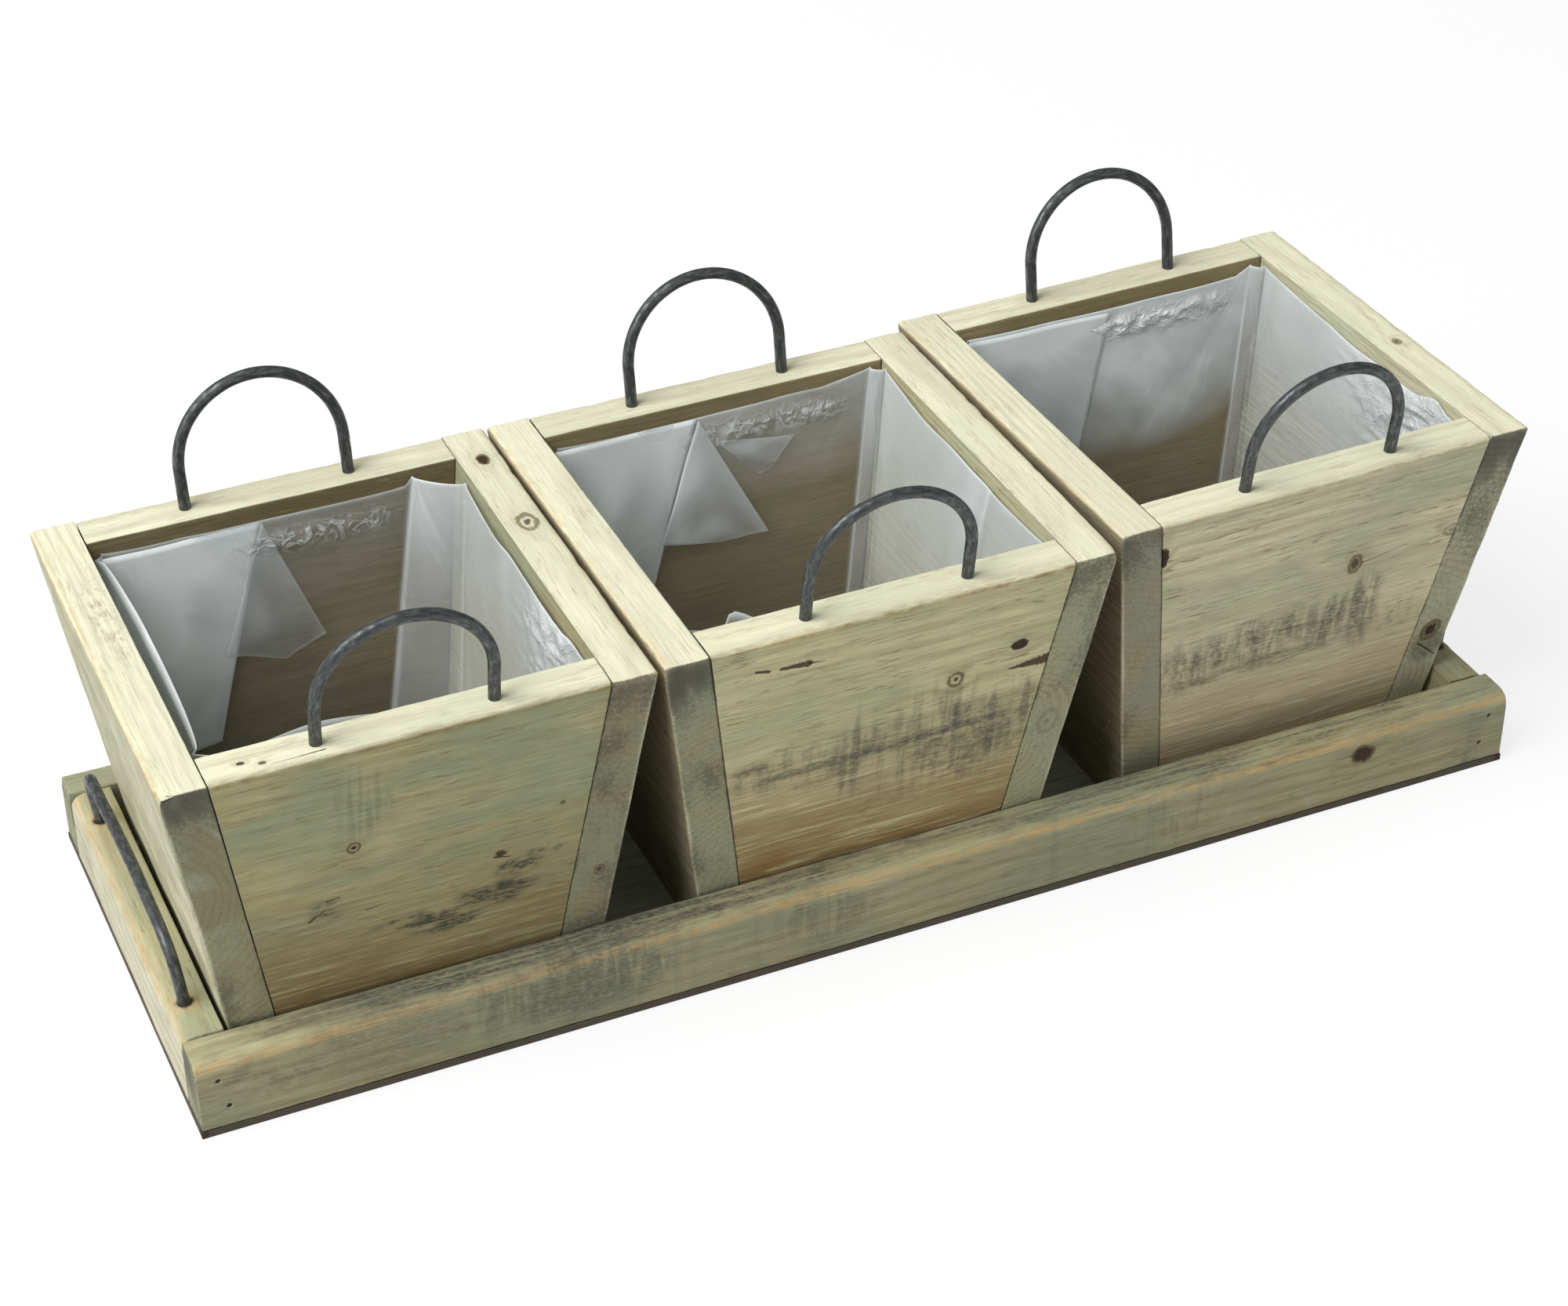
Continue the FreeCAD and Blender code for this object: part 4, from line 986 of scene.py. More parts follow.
for side, (outer_axis, sign) in RAIL_SIDES.items():
    low, high = (np.array(corner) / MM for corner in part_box(f"tray_{side}_rail"))
    length = (high - low)[1 - outer_axis]
    finish = wood_finish(f"{side}_rail_wood", ring_width=3.6, wander=9.0, strength=0.45,
                         tan=(0.47, 0.445, 0.265, 1), cast=(0.37, 0.385, 0.25, 1),
                         pale=(0.76, 0.74, 0.56, 1), **RAIL_FINISH[side])
    if side in ("front", "back"):
        pits = [((share * RAIL_STOCK if end < 0 else length - share * RAIL_STOCK, height * RAIL_HEIGHT),
                 (NAIL_PIT, NAIL_PIT), NAIL_SINK) for height, share in NAIL_ENDS for end in (-1, 1)]
        values = dict(tones=RAIL_TONES, face_bores=pits, middle=rail_notes)
    else:
        middle = length / 2 + (RIGHT_SET_BACK if side == "right" else 0.0)
        holes = [((middle + end * RAIL_HANDLE_SPAN / 2, RAIL_HANDLE_INSET),
                  (HOLE_RADIUS + 0.15, HOLE_RADIUS + 0.15), RAIL_HOLE_DEPTH) for end in (-1, 1)]
        values = dict(tones=dict(RAIL_TONES, outer=0.85), rim_bores=holes, shy=0.15,
                      drift=RAIL_HOLE_DEPTH * math.sin(math.radians(RAIL_HANDLE_LEAN)))
    rails.append(board_piece(
        f"tray_{side}_rail_worn", rail_corners(low, high, outer_axis, sign),
        (length, RAIL_HEIGHT, RAIL_STOCK), 1.3, 300 + 3 * len(side), finish, f"tray_{side}_rail",
        "tray_wood", "tray", crown=RAIL_CROWN, **values))
print("rails", len(rails), "points", sum(len(r.data.vertices) for r in rails))

# %% [markdown]
# ## Bent wire handles
# The handles are dark annealed wire. A tube is a circle carried along a path: at each station a ring
# of points lies in the plane across the path, and the rings are joined into squares. The paths are
# the planned ones, two straight legs and an arch, with the slight unevenness of wire bent by hand.

# %% Wire from a path
TUBE_SIDES, WAVER, THINNING = 20, 0.12, 0.03


def ring_faces(rings, sides, apex):
    """Squares that join each ring of points to the next, and triangles from the first ring to the
    apex."""
    row = np.arange(rings - 1)[:, None] * sides
    column = np.arange(sides)[None]
    after = (column + 1) % sides
    squares = np.stack([row + column, row + after, row + sides + after, row + sides + column], -1)
    return squares.reshape(-1, 4), np.stack([after[0], column[0], np.full(sides, apex)], -1)


def wire_piece(name, body, node, path, normal, seed):
    """One handle. Each ring is radius times (normal cosine + side sine), where side is the path's
    direction crossed with the normal of its plane; the ends close to their middle."""
    rng = np.random.default_rng(seed)
    share = np.linspace(0, 1, len(path))
    ramp = unit(np.minimum(share, 1 - share) / 0.2)
    sway = sum(np.sin(share * math.pi * k * 2 + rng.uniform(0, 6)) / k for k in (1, 2, 3)) * WAVER
    path = path + (sway * ramp)[:, None] * normal
    along = np.gradient(path, axis=0)
    along /= np.linalg.norm(along, axis=1, keepdims=True)
    side = np.cross(along, normal)
    side /= np.linalg.norm(side, axis=1, keepdims=True)
    front = np.cross(side, along)
    angle = np.arange(TUBE_SIDES)[:, None] * 2 * math.pi / TUBE_SIDES
    thick = WIRE_RADIUS * (1 - THINNING * swell(share * 26, share * 0, seed))
    spokes = np.cos(angle) * front[:, None] + np.sin(angle) * side[:, None]
    rings = path[:, None] + thick[:, None, None] * spokes
    points = np.concatenate([rings.reshape(-1, 3), path[:1], path[-1:]])
    squares, start = ring_faces(len(path), TUBE_SIDES, len(path) * TUBE_SIDES)
    top = (len(path) - 1) * TUBE_SIDES
    caps = np.concatenate([start, start[:, [1, 0, 2]] + [top, top, 1]])
    length = np.concatenate([[0], np.cumsum(np.linalg.norm(np.diff(path, axis=0), axis=1))])
    wrap = np.zeros((len(points), 3))
    wrap[:-2, 0], wrap[-1, 0] = np.repeat(length, TUBE_SIDES), length[-1]
    wrap[:-2, 1] = np.tile(angle[:, 0], len(path)) * WIRE_RADIUS
    return closed_piece(name, points, squares, {"wire": wrap * MM}, wire_finish, node, "wire", body,
                        caps.tolist())


print("wire sides", TUBE_SIDES)

# %% [markdown]
# ## Scuffed dark steel
# Annealed wire is nearly black with a blue-grey sheen where the bending tools and fingers have rubbed
# it. The base is dark, drawn-out noise along the wire brightens it in scuffs, and the same noise makes
# the scuffs smoother than the scale round them.

# %% Wire and nail finishes


def steel_finish(name, dark, bright, along_wire, low, high, metallic):
    """A dark metal: stretched noise mixes two tones and sets the roughness, fine noise the bump."""
    made, tree, shader = new_material(name)
    place = kept_values(tree, "wire") if along_wire else object_place(tree)
    drawn = noise(place * (300.0, 900.0, 900.0), 3.0, 0.65, 0.4)
    send(shader.inputs, Base_Color=tint(eased(drawn, 0.40, 0.75), dark, bright),
         Roughness=eased(drawn, 0.3, 0.7, high, low),
         Normal=bumped(noise(place, 3.0, 0.6, scale=1600.0), 0.3, 0.0002))
    shader.inputs["Metallic"].default_value = metallic
    return made


wire_finish = steel_finish("scuffed_wire", (0.062, 0.067, 0.069, 1), (0.18, 0.19, 0.19, 1), True,
                           0.36, 0.6, 0.6)
nail_finish = steel_finish("dull_nail", (0.05, 0.045, 0.04, 1), (0.16, 0.15, 0.14, 1), False,
                           0.45, 0.7, 0.7)
print("steel", wire_finish.name, nail_finish.name)

# %% [markdown]
# ## The handles' paths
# A pot handle lies in a plane that leans with its wall: a leg, half a circle and a leg. A tray handle
# is low and wide: two legs, two tight bends and a nearly straight bow between them, leaning outwards.

# %% Build the eight handles
LEG_DOWN, LEG_UP = -14.0, 11.0
BOW_HALF, BEND, BOW, BOW_RISE, BOW_DOWN = 43.0, 10.0, math.radians(5.0), 21.0, -12.0


def hoop():
    """Flat path of a pot handle: x along the rim and rise along the leg, about half a millimetre
    apart on the half circle of half the span."""
    half = HANDLE_SPAN / 2
    up = np.linspace(LEG_DOWN, LEG_UP, 26)[:-1]
    angle = np.linspace(math.pi, 0, 61)
    arch = np.stack([half * np.cos(angle), LEG_UP + half * np.sin(angle)], -1)
    left = np.stack([np.full_like(up, -half), up], -1)
    return np.concatenate([left, arch, (left * [-1, 1])[::-1]])


def low_bow():
    """Flat path of a tray handle: legs, two bends of a small radius, and a bow of the large radius
    that makes the three arcs meet smoothly."""
    large = BEND + (BOW_HALF - BEND) / math.sin(BOW)
    crown = large * (1 - math.cos(BOW))
    rise = BOW_RISE - crown - BEND * math.cos(BOW)
    up = np.linspace(BOW_DOWN, rise, 24)[:-1]
    tight = np.linspace(math.pi, math.pi / 2 + BOW, 16)[:-1]
    bend = np.stack([BEND - BOW_HALF + BEND * np.cos(tight), rise + BEND * np.sin(tight)], -1)
    wide = np.linspace(math.pi / 2 + BOW, math.pi / 2, 30)
    bow = np.stack([large * np.cos(wide), BOW_RISE - large + large * np.sin(wide)], -1)
    left = np.concatenate([np.stack([np.full_like(up, -BOW_HALF), up], -1), bend, bow])
    return np.concatenate([left, (left[:-1] * [-1, 1])[::-1]])


handles = []
for number, pot in enumerate(TURNS):
    for sign, side in ((-1, "front"), (1, "back")):
        flat = hoop()
        out = RIM_HALF - ACROSS / 2 + flat[:, 1] * math.sin(TILT)
        path = np.stack([flat[:, 0], sign * out, POT_HEIGHT + flat[:, 1] * math.cos(TILT)], -1)
        _, turn = pot_place(pot)
        normal = np.array([0, sign * math.cos(TILT), -math.sin(TILT)])
        normal[:2] = turn @ normal[:2]
        handles.append(wire_piece(f"{pot}_pot_{side}_wire", f"{pot}_pot", f"{pot}_pot_{side}_handle",
                                  stand(path, pot), normal, 7 + 2 * number + sign))
lean = math.radians(RAIL_HANDLE_LEAN)
for sign, side, back in ((-1, "left", 0.0), (1, "right", RIGHT_SET_BACK)):
    flat = low_bow()
    out = sign * (TRAY_HALF - RAIL_HANDLE_INSET + flat[:, 1] * math.sin(lean))
    path = np.stack([out, back + flat[:, 0], RAIL_TOP + flat[:, 1] * math.cos(lean)], -1)
    normal = np.array([sign * math.cos(lean), 0, -math.sin(lean)])
    handles.append(wire_piece(f"tray_{side}_wire", "tray", f"tray_{side}_handle", path, normal, 20 + sign))
print("handles", len(handles), "points in one", len(handles[0].data.vertices))

# %% [markdown]
# ## Film bags
# Each pot holds a clear polythene bag, pushed in by hand. It cuts across the corners, stands off the
# walls in slow folds, has a crumpled strip where its folded top was pressed, and ends in a wavy edge a
# few millimetres below the rim. Its corners are folded over into flat flaps. The bag is a sheet
# round the pot: at each level its plan is a square with cut corners, and folds move it inwards.

# %% The bag's sheet
FILM_TOP = {"left": 105.0, "middle": 105.4, "right": 105.6}
CUTS = {"left": (2.5, 12.5, 6.0), "middle": (2.5, 3.6, 5.0), "right": (2.5, 3.6, 3.0)}
PEAKS = {"left": (2.2, 1.6), "middle": (2.4, 12.0), "right": (2.2, 4.0)}
LEANS = {"left": (2.2, 2.4), "middle": (3.4, 0.0), "right": (0.0, 0.0)}
CRUMPLE = {"left": 1.0, "middle": 0.1, "right": 1.3}
TURNED_EDGE = {"middle": 0.3}
STRETCHES = ((44, 80.0), (6, 4.0), (84, 85.0), (22, 14.0), (112, 76.0), (22, 13.0), (60, 80.0), (22, 15.0))
VEILS = np.array([0.30, 0.30, 0.30, 0.24, 0.03, 0.34, 0.24, 0.5])
CALM = np.array([0.3, 0.6, 1.0, 1.0, 1.0, 0.4, 0.2, 0.3])
BACK_HAZE = {"left": (0.12, 0.66), "middle": (0.24, 0.62), "right": (0.9, 0.46)}
SIDE_RISE = {"left": 0.8, "middle": 0.0, "right": 2.4}
FRONT_RISE = {"left": (0.24, 0.22, 2.4), "middle": (0.06, 0.05, 3.2), "right": (0.5, 0.1, 0.0)}
FRONT, RIGHT_SIDE, BACK_RIGHT, BACK, LEFT_SIDE = 0, 2, 3, 4, 6
FILM_FOOT = FLOOR + 0.35


def wall_depth(height):
    """Distance from the pot's middle to a wall's inner face at a height above the foot."""
    return FOOT_HALF - ACROSS + TAPER * height


def bag_plan(height, pot):
    """Corner points of the bag's plan at each height, anticlockwise from the front left, the first one
    repeated at the end. The bag cuts across the corners, more so towards the top, and the other way
    round at the back right corner, where it hangs from a peak."""
    inner = wall_depth(height) - 0.55
    up = height / POT_HEIGHT
    left, right, front = CUTS[pot]
    left, front, right = left * (0.3 + 0.7 * up), front * (0.3 + 0.7 * up), right * (1.5 - 0.5 * up)
    x = [-inner + 1.5 * front, inner - 3, inner, inner, inner - right, -inner + left, -inner, -inner]
    y = [-inner, -inner, -inner + 3, inner - 0.75 * right, inner, inner, inner - 1.1 * left, -inner + front]
    return np.stack([np.stack([*x, x[0]], -1), np.stack([*y, y[0]], -1)], -1)


def ridges(x, y, seed):
    """Sharp ridges: one minus the distance of a smooth noise from its middle value, twice over."""
    return (1 - np.abs(2 * swell(x, y, seed) - 1)) * (1 - np.abs(2 * swell(1.7 * x, 1.6 * y, seed + 1) - 1))


def bag_sheet(pot, seed):
    """Rows of points from the floor to the wavy top, and for each point its veil, its crinkle and its
    angle round the back right peak, below which the shader paints bright highlight streaks in fine rays.
    The veil also holds painted highlights along the back creases, a painted sheen towards the tops of
    the right walls, and a bright band at the left wall's top that is partly folded film and partly a
    painted highlight. Folds move a point along the inward normal: slow swells, diagonal creases, and
    ridges where the film is crushed, all zero at the bag's upright creases."""
    up = np.concatenate([np.linspace(0, 0.72, 40)[:-1], np.linspace(0.72, 1, 52)])[:, None]
    share = np.concatenate([np.arange(n) / n for n, _ in STRETCHES])
    index = np.concatenate([np.full(n, i) for i, (n, _) in enumerate(STRETCHES)])
    front, side, back_right, back, left_side = (
        index == i for i in (FRONT, RIGHT_SIDE, BACK_RIGHT, BACK, LEFT_SIDE))
    lengths = np.array([length for _, length in STRETCHES])
    starts = np.concatenate([[0], np.cumsum(lengths)])
    run_mm = starts[index] + share * lengths[index]
    from_seam = np.minimum(run_mm, starts[-1] - run_mm)
    edge = swell(run_mm / 55, run_mm * 0, seed) * 1.1 + swell(run_mm / 13, run_mm * 0, seed + 1) * 0.2 - 0.7
    peak, fall = PEAKS[pot]
    rise = np.select([side, back_right, back],
                     [share ** 1.6, 1.0, unit(1 - share * lengths[BACK] / fall)], 0.0)
    centre, reach, lift = FRONT_RISE[pot]
    raised = front * hump(share, centre, reach) * unit(share * 25)
    edge = edge * unit(from_seam / 12) + peak * rise + lift * raised
    top = FILM_TOP[pot] + edge + SIDE_RISE[pot] * side * hump(share, 0.09, 0.05)
    height = FILM_FOOT + up * (top - FILM_FOOT)
    plan = bag_plan(height, pot)
    rows, columns = np.indices(height.shape)
    start, end = plan[rows, columns, index], plan[rows, columns, index + 1]
    run = end - start
    inward = np.stack([-run[..., 1], run[..., 0]], -1)
    inward /= np.maximum(np.linalg.norm(run, axis=-1, keepdims=True), 1e-6)
    u, v = run_mm / 15, height / 15
    from_top, from_left = top - height, 1 - share
    fold = swell(u * 0.6, v * 0.35, seed + 4) * 1.7 + swell(u * 1.5, v * 0.6, seed + 5) * 0.35
    crease = np.abs(swell(u * 0.7 + v * 0.6, v * 0.25, seed + 9) - 0.5) * 1.3
    strip = (back * hump(height, FILM_TOP[pot] - 7.0, 2.8) * unit((from_left - 0.36) * 8)
             * unit((0.95 - from_left) * 14))
    corner = side * CRUMPLE[pot] * hump(share, 0.16, 0.24) * unit((up - 0.7) / 0.2)
    crush = (strip * 1.7 * ridges(u * 4.2, v * 4.0, seed + 15)
             + corner * 2.0 * ridges(u * 1.5, v * 3.2, seed + 16)) * np.clip(from_top / 2.5, 0.1, 1)
    lean = np.where(left_side, LEANS[pot][1], LEANS[pot][0] * raised)
    lip = lean * (up ** 6 + 0.6 * unit(1 - from_top / 2.5) ** 2)
    middle = np.sin(math.pi * share)
    inwards = (middle ** 0.5 * CALM[index] * (fold * (0.35 + 0.65 * up) + crease + crush)
               + middle ** 0.25 * lip)
    flat = start * (1 - share)[:, None] + end * share[:, None] + inward * inwards[..., None]
    least = np.where(side | back_right, 0.3, 0.5)
    veil_and_sheen = VEILS[index] * (least + (1 - least) * up) + 0.3 * hump(from_top, 0.0, 0.7) + corner * 0.15
    # A bright band at the top of the left wall: partly the thick fold of film, partly a painted highlight
    # where it catches the light.
    veil_and_sheen = veil_and_sheen + left_side * 0.5 * hump(from_top, 0.0, 2.4)
    # Painted sheen: the right walls grow brighter towards the top.
    veil_and_sheen = veil_and_sheen + (side | back_right) * 0.2 * unit((up - 0.5) / 0.5) ** 2
    if pot in TURNED_EDGE:
        turned = 0.1 * (share > TURNED_EDGE[pot]) + 0.35 * hump(share, TURNED_EDGE[pot], 0.008)
        veil_and_sheen = veil_and_sheen + side * turned * unit(up * 2 - 0.6)
    haze, haze_from = BACK_HAZE[pot]
    mottle = 0.35 + 1.1 * rough(u * 1.1 - v * 0.5, v * 1.0, seed + 20)
    border = haze_from + 0.08 * swell(u * 0.5, v * 0, seed + 23)
    veil_and_sheen = veil_and_sheen + back * haze * mottle * unit((up - border) / 0.32)
    # Painted highlights along the two back creases.
    veil_and_sheen = veil_and_sheen + 0.3 * hump(run_mm, starts[BACK], 0.7) + 0.1 * hump(run_mm, starts[BACK_RIGHT], 0.9)
    crinkle = unit(strip * 1.1 + corner * 0.4)
    fan = np.arctan2(np.abs(run_mm - starts[BACK]) + 2.0, from_top + 7.0)
    return np.concatenate([flat, height[..., None]], -1), np.stack([unit(veil_and_sheen), crinkle, fan], -1)


print("bag edge heights", FILM_TOP)

# %% [markdown]
# ## Milky film
# Polythene this thin is mostly clear, but it scatters a grey-white veil, strongest where it is creased
# or doubled. The shader is a smooth pale surface whose Alpha varies: low on flat film, high on creases
# and crinkles. A ridged noise makes the small creases of the crushed parts, both in the bump and in the
# veil. The fine rays below the raised corner are painted highlights: bright streaks from a noise over
# the angle round that corner, added to the veil. The veil kept on the mesh also holds painted
# highlights along the creases and edges, and a painted sheen near the tops of the right walls.

# %% Film finish
film, tree, shader = new_material("milky_film")
place = object_place(tree)
veil_and_sheen, crinkle, fan = split(kept_values(tree, "film"))
slow = noise(place * (22.0, 22.0, 12.0), 2.0, 0.5, 0.8)
fold = noise(place * (38.0, 38.0, 16.0), 1.0, 0.5, 1.2)


def ridge_of(value, sharpness):
    """One on the line where a noise passes its middle value, falling to none on both sides."""
    return calc("SUBTRACT", 1.0, calc("ABSOLUTE", value - 0.5) * sharpness, clamp=True)


bubbles = ridge_of(noise(place, 1.0, 0.5, 1.6, scale=190.0), 11.0) * crinkle
rays = noise(joined(tree, fan * 6.0, slow * 2.2, 0.0), 2.0, 0.5, 0.5)
# Painted highlight: bright streaks fanning out below the raised corner, added to the film's alpha.
painted_glint = eased(fan, 1.15, 0.15, 0.2, 1.0) * (eased(rays, 0.48, 0.75) * 0.5 + ridge_of(rays, 34.0) * 0.2)
milky = veil_and_sheen * (slow * 0.9 + 0.55) + painted_glint * veil_and_sheen * 0.8
send(shader.inputs, Alpha=calc("ADD", bubbles * 0.4, milky, clamp=True),
     Normal=bumped(bubbles * 0.9 + fold * 0.5, 0.5, 0.0012),
     Base_Color=tint(slow, (0.78, 0.82, 0.83, 1), (0.90, 0.94, 0.95, 1)),
     Roughness=eased(slow, 0.3, 0.7, 0.08, 0.2))
shader.inputs["Specular IOR Level"].default_value = 0.6
print("film nodes", len(tree.nodes))

# %% [markdown]
# ## Flaps and closing the bag
# The folded corners of the bag are separate flat flaps in front of the back wall. A flap is a patch
# between four corner points, curved a little. The bag's bottom is the lowest row shrunk to a point.
# A Solidify modifier then gives the whole sheet the thickness of heavy film, so its skin is closed.

# %% Build the three bags
FILM_THICKNESS, FLOOR_VEIL = 0.12, 0.08
BOTTOM_RINGS = (0.12, 0.3, 0.5, 0.68, 0.83, 0.94)
FLAPS = {
    "left": [((-50.6, 104.4), (-5.0, 104.9), (-25.0, 42.0), (-41.8, 40.0), 1.6, 0.95),
             ((-20.4, 68.1), (-5.0, 104.9), (8.7, 67.8), (-3.5, 63.1), 2.4, 0.22)],
    "middle": [((-50.8, 105.0), (-7.2, 105.0), (-27.0, 50.0), (-43.0, 48.0), 1.6, 0.92),
               ((-21.4, 69.0), (-7.2, 105.0), (12.1, 65.7), (-4.0, 66.0), 2.4, 0.42),
               ((-1.8, 96.4), (22.8, 93.0), (14.5, 84.5), (10.9, 83.5), 1.4, 0.22)],
    "right": [((-50.8, 105.0), (-1.6, 104.0), (-14.2, 60.9), (-44.0, 50.0), 1.6, 0.9)]}


def flap(corners, stand_off, haze, seed):
    """Patch between four places on the back wall, each x and height; its distance from the wall is
    the stand-off plus a bulge that is largest in its middle. Gives its points, squares and notes."""
    s, t = np.meshgrid(np.linspace(0, 1, 30), np.linspace(0, 1, 34), indexing="ij")
    shares = np.stack([(1 - s) * (1 - t), s * (1 - t), s * t, (1 - s) * t], -1)
    x, height = np.moveaxis(shares @ np.array(corners, float), -1, 0)
    bulge = np.sin(math.pi * s) * np.sin(math.pi * t) * 0.9 + swell(s * 3, t * 2.4, seed) * 0.8
    points = np.stack([x, wall_depth(height) - stand_off - bulge, height], -1)
    rim = np.minimum(np.minimum(s, 1 - s), np.minimum(t, 1 - t))
    # The small rise of the veil at the flap's rim is a painted highlight.
    veil_and_sheen = haze * (1 - 0.7 * t) * (0.75 + 0.9 * swell(s * 3, t * 3, seed + 3)) + hump(rim, 0, 0.025) * 0.1
    notes = np.stack([veil_and_sheen, 0 * s, 0 * s], -1)
    squares = sheet_squares(np.arange(s.size).reshape(s.shape))
    return points.reshape(-1, 3), squares, notes.reshape(-1, 3)


bags = []
for number, pot in enumerate(TURNS):
    sheet, notes = bag_sheet(pot, 400 + 10 * number)
    lowest, centre = sheet[0], sheet[0].mean(0)
    rings = np.stack([centre + (lowest - centre) * share for share in BOTTOM_RINGS])
    rings[..., 2] += 0.5 * swell(rings[..., 0] / 9, rings[..., 1] / 9, 500 + number)
    points = np.concatenate([rings.reshape(-1, 3), sheet.reshape(-1, 3), centre[None]])
    bottom_notes = np.tile([FLOOR_VEIL, 0.0, 0.0], (rings.size // 3, 1))
    kept = np.concatenate([bottom_notes, notes.reshape(-1, 3), bottom_notes[:1]])
    squares, bottom = ring_faces(len(rings) + len(sheet), len(lowest), len(points) - 1)
    faces = squares.tolist() + bottom.tolist()
    for index, (*corners, stand_off, haze) in enumerate(FLAPS[pot]):
        patch, patch_squares, patch_notes = flap(corners, stand_off, haze, 600 + number + index)
        faces += (patch_squares + len(points)).tolist()
        points, kept = np.concatenate([points, patch]), np.concatenate([kept, patch_notes])
    bag = mesh_object(f"{pot}_pot_film_bag", stand(points, pot), faces, {"film": kept}, film,
                      f"{pot}_pot_liner", "film", f"{pot}_liner")
    skin = bag.modifiers.new("film_thickness", "SOLIDIFY")
    skin.thickness, skin.offset, skin.use_even_offset = FILM_THICKNESS * MM, 0.0, False
    bags.append(bag)
print("bags", len(bags), "points", [len(b.data.vertices) for b in bags])

# %% [markdown]
# ## Plain pieces that keep their planned shape
# The floor boards, the thin panel under the tray, the nails and the tacks already have their final
# shape, so they only get a finish. Their grain reads the object's own coordinates. The panel's four
# edges, which show as a thin line under the rails, are dark: each is one wide crack.

# %% Finish the remaining solids
floor_finish = wood_finish("floor_wood", 91, pith=(0, 40, -40), notes=(0.12, 0.0, 0.35),
                           tan=(0.30, 0.24, 0.15, 1), cast=(0.25, 0.22, 0.15, 1))
PANEL_EDGE = 4.0
ends = [(end * TRAY_HALF, side * TRAY_DEPTH_HALF) for end, side in ((-1, -1), (1, -1), (1, 1), (-1, 1))]
edges = [(ends[i - 1], ends[i], PANEL_EDGE, PANEL_EDGE) for i in (1, 2, 3, 0)]
panel_finish = wood_finish("panel_wood", 97, pith=(0, 20, 60), notes=(0.0, 0.0, 0.3), cracks=edges,
                           tan=(0.72, 0.74, 0.60, 1), late=(0.36, 0.36, 0.29, 1),
                           cast=(0.58, 0.62, 0.49, 1))
FINISHES = {"floor_board": floor_finish, "base_panel": panel_finish, "nails": nail_finish,
            "tacks": nail_finish}
kept_nodes = []
for name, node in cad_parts.items():
    for ending, finish in FINISHES.items():
        if name.endswith(ending):
            node.data.materials.clear()
            node.data.materials.append(finish)
            kept_nodes.append(name)
print("kept solids", sorted(kept_nodes))

# %% [markdown]
# ## Floor, light and camera
# A pale floor stands in for the studio table. To the camera it is white and keeps a soft contact
# shadow, and to every other ray it is a plain pale board that throws light back onto the pots' sides.
# One large soft lamp hangs up on the left, where the planter's tops and left faces are brightest.

# %% Studio
FLOOR_REACH, FLOOR_DROP = 6.0, 0.0002
BOUNCE, WHITE_BOUNCE, WHITE_GLOW = (0.5, 0.5, 0.49, 1), (0.26, 0.26, 0.26, 1), 0.78
SKY_COLOUR, SKY_LIGHT, AIM = (0.97, 1.0, 1.0, 1), 0.28, (0.0, 0.0, 0.05)
LAMPS = {"key_lamp": ((-1.55, -0.25, 2.0), 1.9, 67), "fill_lamp": ((0.9, -2.4, 1.1), 1.6, 3.5)}


def seen_through(tree, output, plain, shown, *rays):
    """Shows one shader to the rays of these kinds and the plain one to all others."""
    paths = add(tree, "ShaderNodeLightPath").outputs
    direct = Term(paths[f"Is {rays[0]} Ray"])
    for ray in rays[1:]:
        direct = calc("MAXIMUM", direct, Term(paths[f"Is {ray} Ray"]))
    mixed = add(tree, "ShaderNodeMixShader", (direct, plain, shown)).outputs[0]
    tree.links.new(mixed, tree.nodes[output].inputs[0])


mesh = bpy.data.meshes.new("studio_floor")
corners = [(FLOOR_REACH * x, FLOOR_REACH * y, 0) for x, y in ((-1, -1), (1, -1), (1, 1), (-1, 1))]
mesh.from_pydata(corners, [], [(0, 1, 2, 3)])
studio_floor = bpy.data.objects.new("studio_floor", mesh)
scene.collection.objects.link(studio_floor)
studio_floor.location.z = -FLOOR_DROP
backdrop, tree, shader = new_material("studio_white")
tree.nodes.remove(shader)
plain = add(tree, "ShaderNodeBsdfDiffuse", {"Color": BOUNCE}).outputs[0]
thin = add(tree, "ShaderNodeBsdfDiffuse", {"Color": WHITE_BOUNCE}).outputs[0]
white = add(tree, "ShaderNodeEmission", {"Color": (1, 1, 1, 1), "Strength": WHITE_GLOW}).outputs[0]
shown = add(tree, "ShaderNodeAddShader", (thin, white)).outputs[0]
seen_through(tree, "Material Output", plain, shown, "Camera", "Glossy", "Transmission")
mesh.materials.append(backdrop)

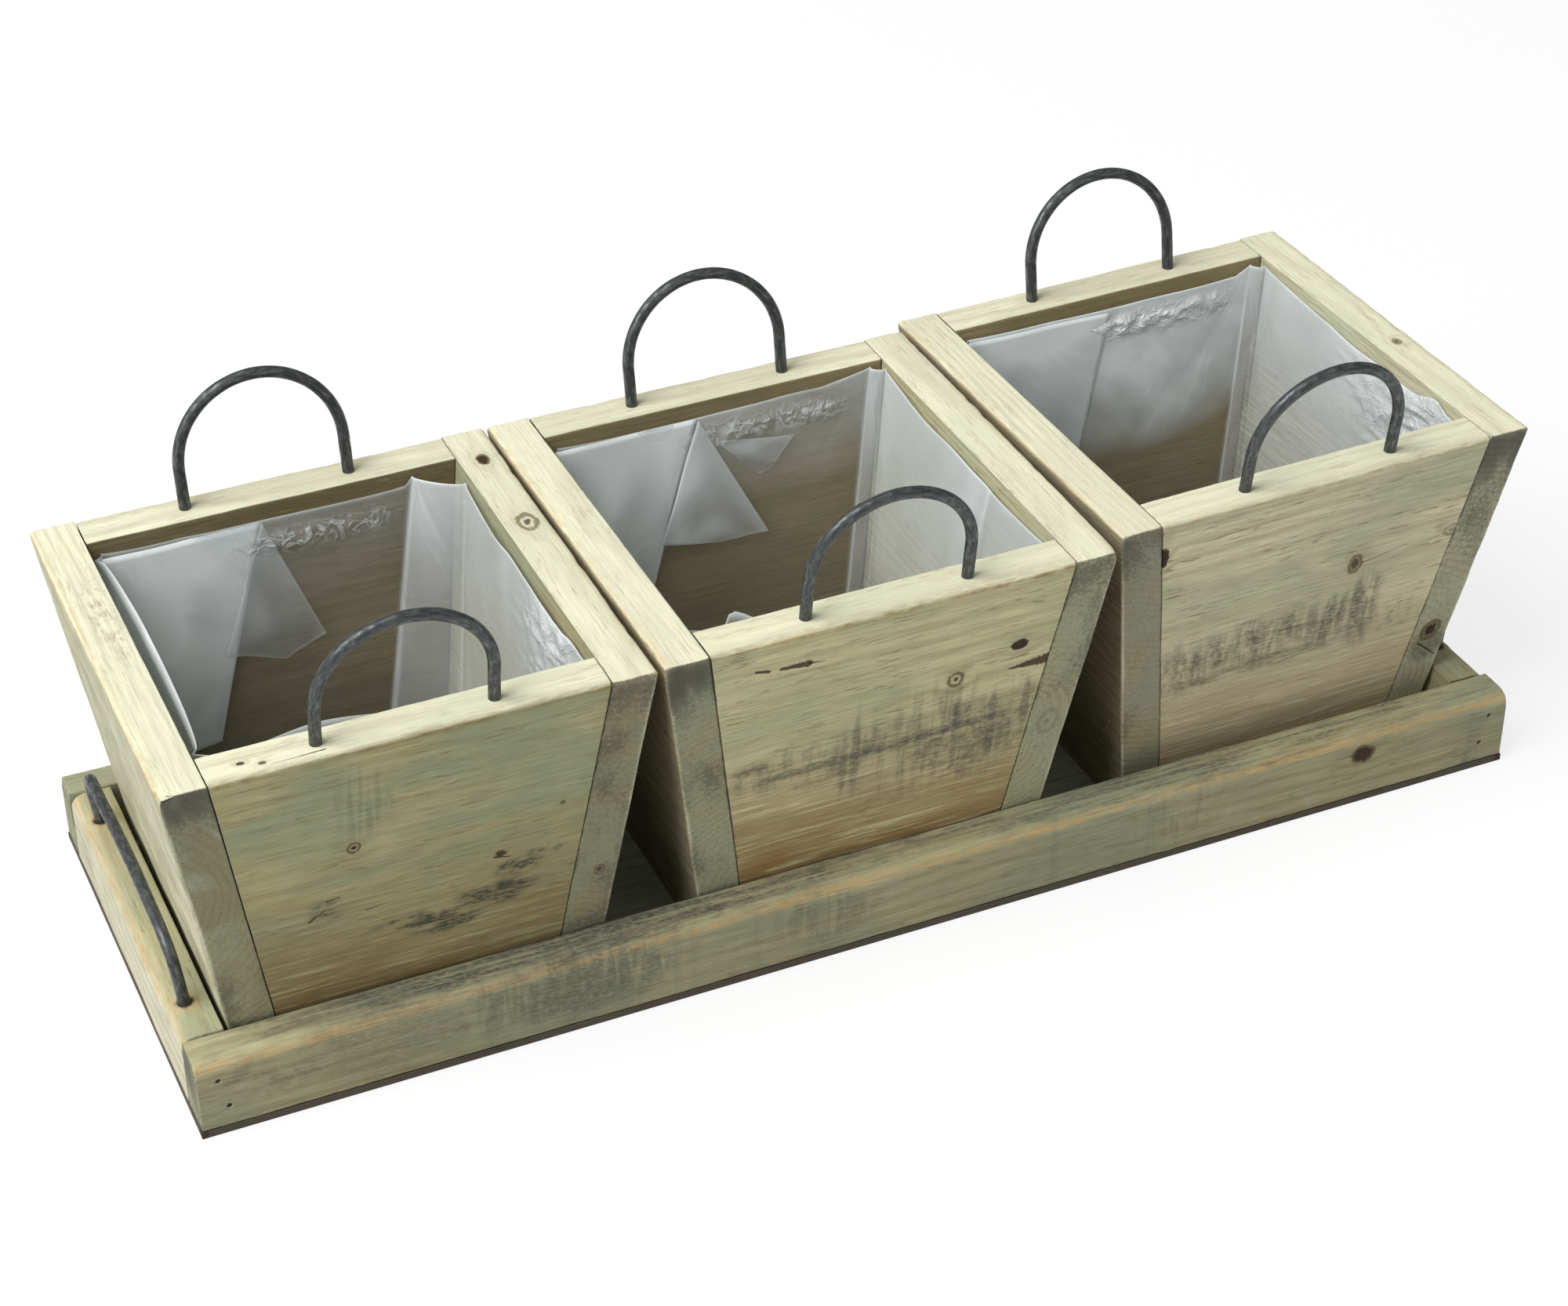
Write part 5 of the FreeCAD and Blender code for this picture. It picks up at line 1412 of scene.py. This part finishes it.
world = bpy.data.worlds.new("studio_sky")
scene.world = world
world.use_nodes = True
tree = world.node_tree
sky = add(tree, "ShaderNodeBackground", {"Color": SKY_COLOUR, "Strength": SKY_LIGHT}).outputs[0]
clear = add(tree, "ShaderNodeBackground", {"Color": (1, 1, 1, 1), "Strength": 1.0}).outputs[0]
seen_through(tree, "World Output", sky, clear, "Camera", "Transmission")


def stand_at(held, directions, place):
    """Puts an object at a place, its own x, y and z turned to three directions."""
    rows = [[*row, p] for row, p in zip(np.transpose(directions), place)]
    held.matrix_world = Matrix(rows + [[0, 0, 0, 1]])


for name, (place, width, power) in LAMPS.items():
    lamp = bpy.data.lights.new(name, "AREA")
    lamp.shape, lamp.size, lamp.energy = "SQUARE", width, power
    held = bpy.data.objects.new(name, lamp)
    scene.collection.objects.link(held)
    away = np.subtract(place, AIM)
    away /= np.linalg.norm(away)
    side = np.cross((0.0, 1.0, 0.0), away)
    side /= np.linalg.norm(side)
    stand_at(held, [side, np.cross(away, side), away], place)

# %% [markdown]
# ## The camera
# The view looks down on the planter from the front left with a long lens. Its place, its three
# directions and its focal length are those that put every corner of the boards where a photograph
# taken from there shows it. The planter is left of the optical axis, so the lens is shifted a little.

# %% Camera
IMAGE_WIDTH, FOCAL_PIXELS, AXIS_PIXEL = 2000, 4231.79, 860.0
CAMERA_PLACE = (-0.321764, -0.709686, 0.596283)
RIGHT, DOWN, FORWARD = ((0.921586, -0.387583, -0.021421), (-0.238024, -0.520653, -0.819918),
                        (0.306633, 0.760723, -0.572081))
camera_data = bpy.data.cameras.new("camera")
camera_data.sensor_width = 36
camera_data.lens = FOCAL_PIXELS * camera_data.sensor_width / IMAGE_WIDTH
camera_data.shift_x = (IMAGE_WIDTH / 2 - AXIS_PIXEL) / IMAGE_WIDTH
camera = bpy.data.objects.new("camera", camera_data)
scene.collection.objects.link(camera)
stand_at(camera, [RIGHT, np.negative(DOWN), np.negative(FORWARD)], CAMERA_PLACE)
scene.camera = camera
print("lens", round(camera_data.lens, 2), "mm, shift", round(camera_data.shift_x, 3))

# %% Update the scene
bpy.context.view_layer.update()
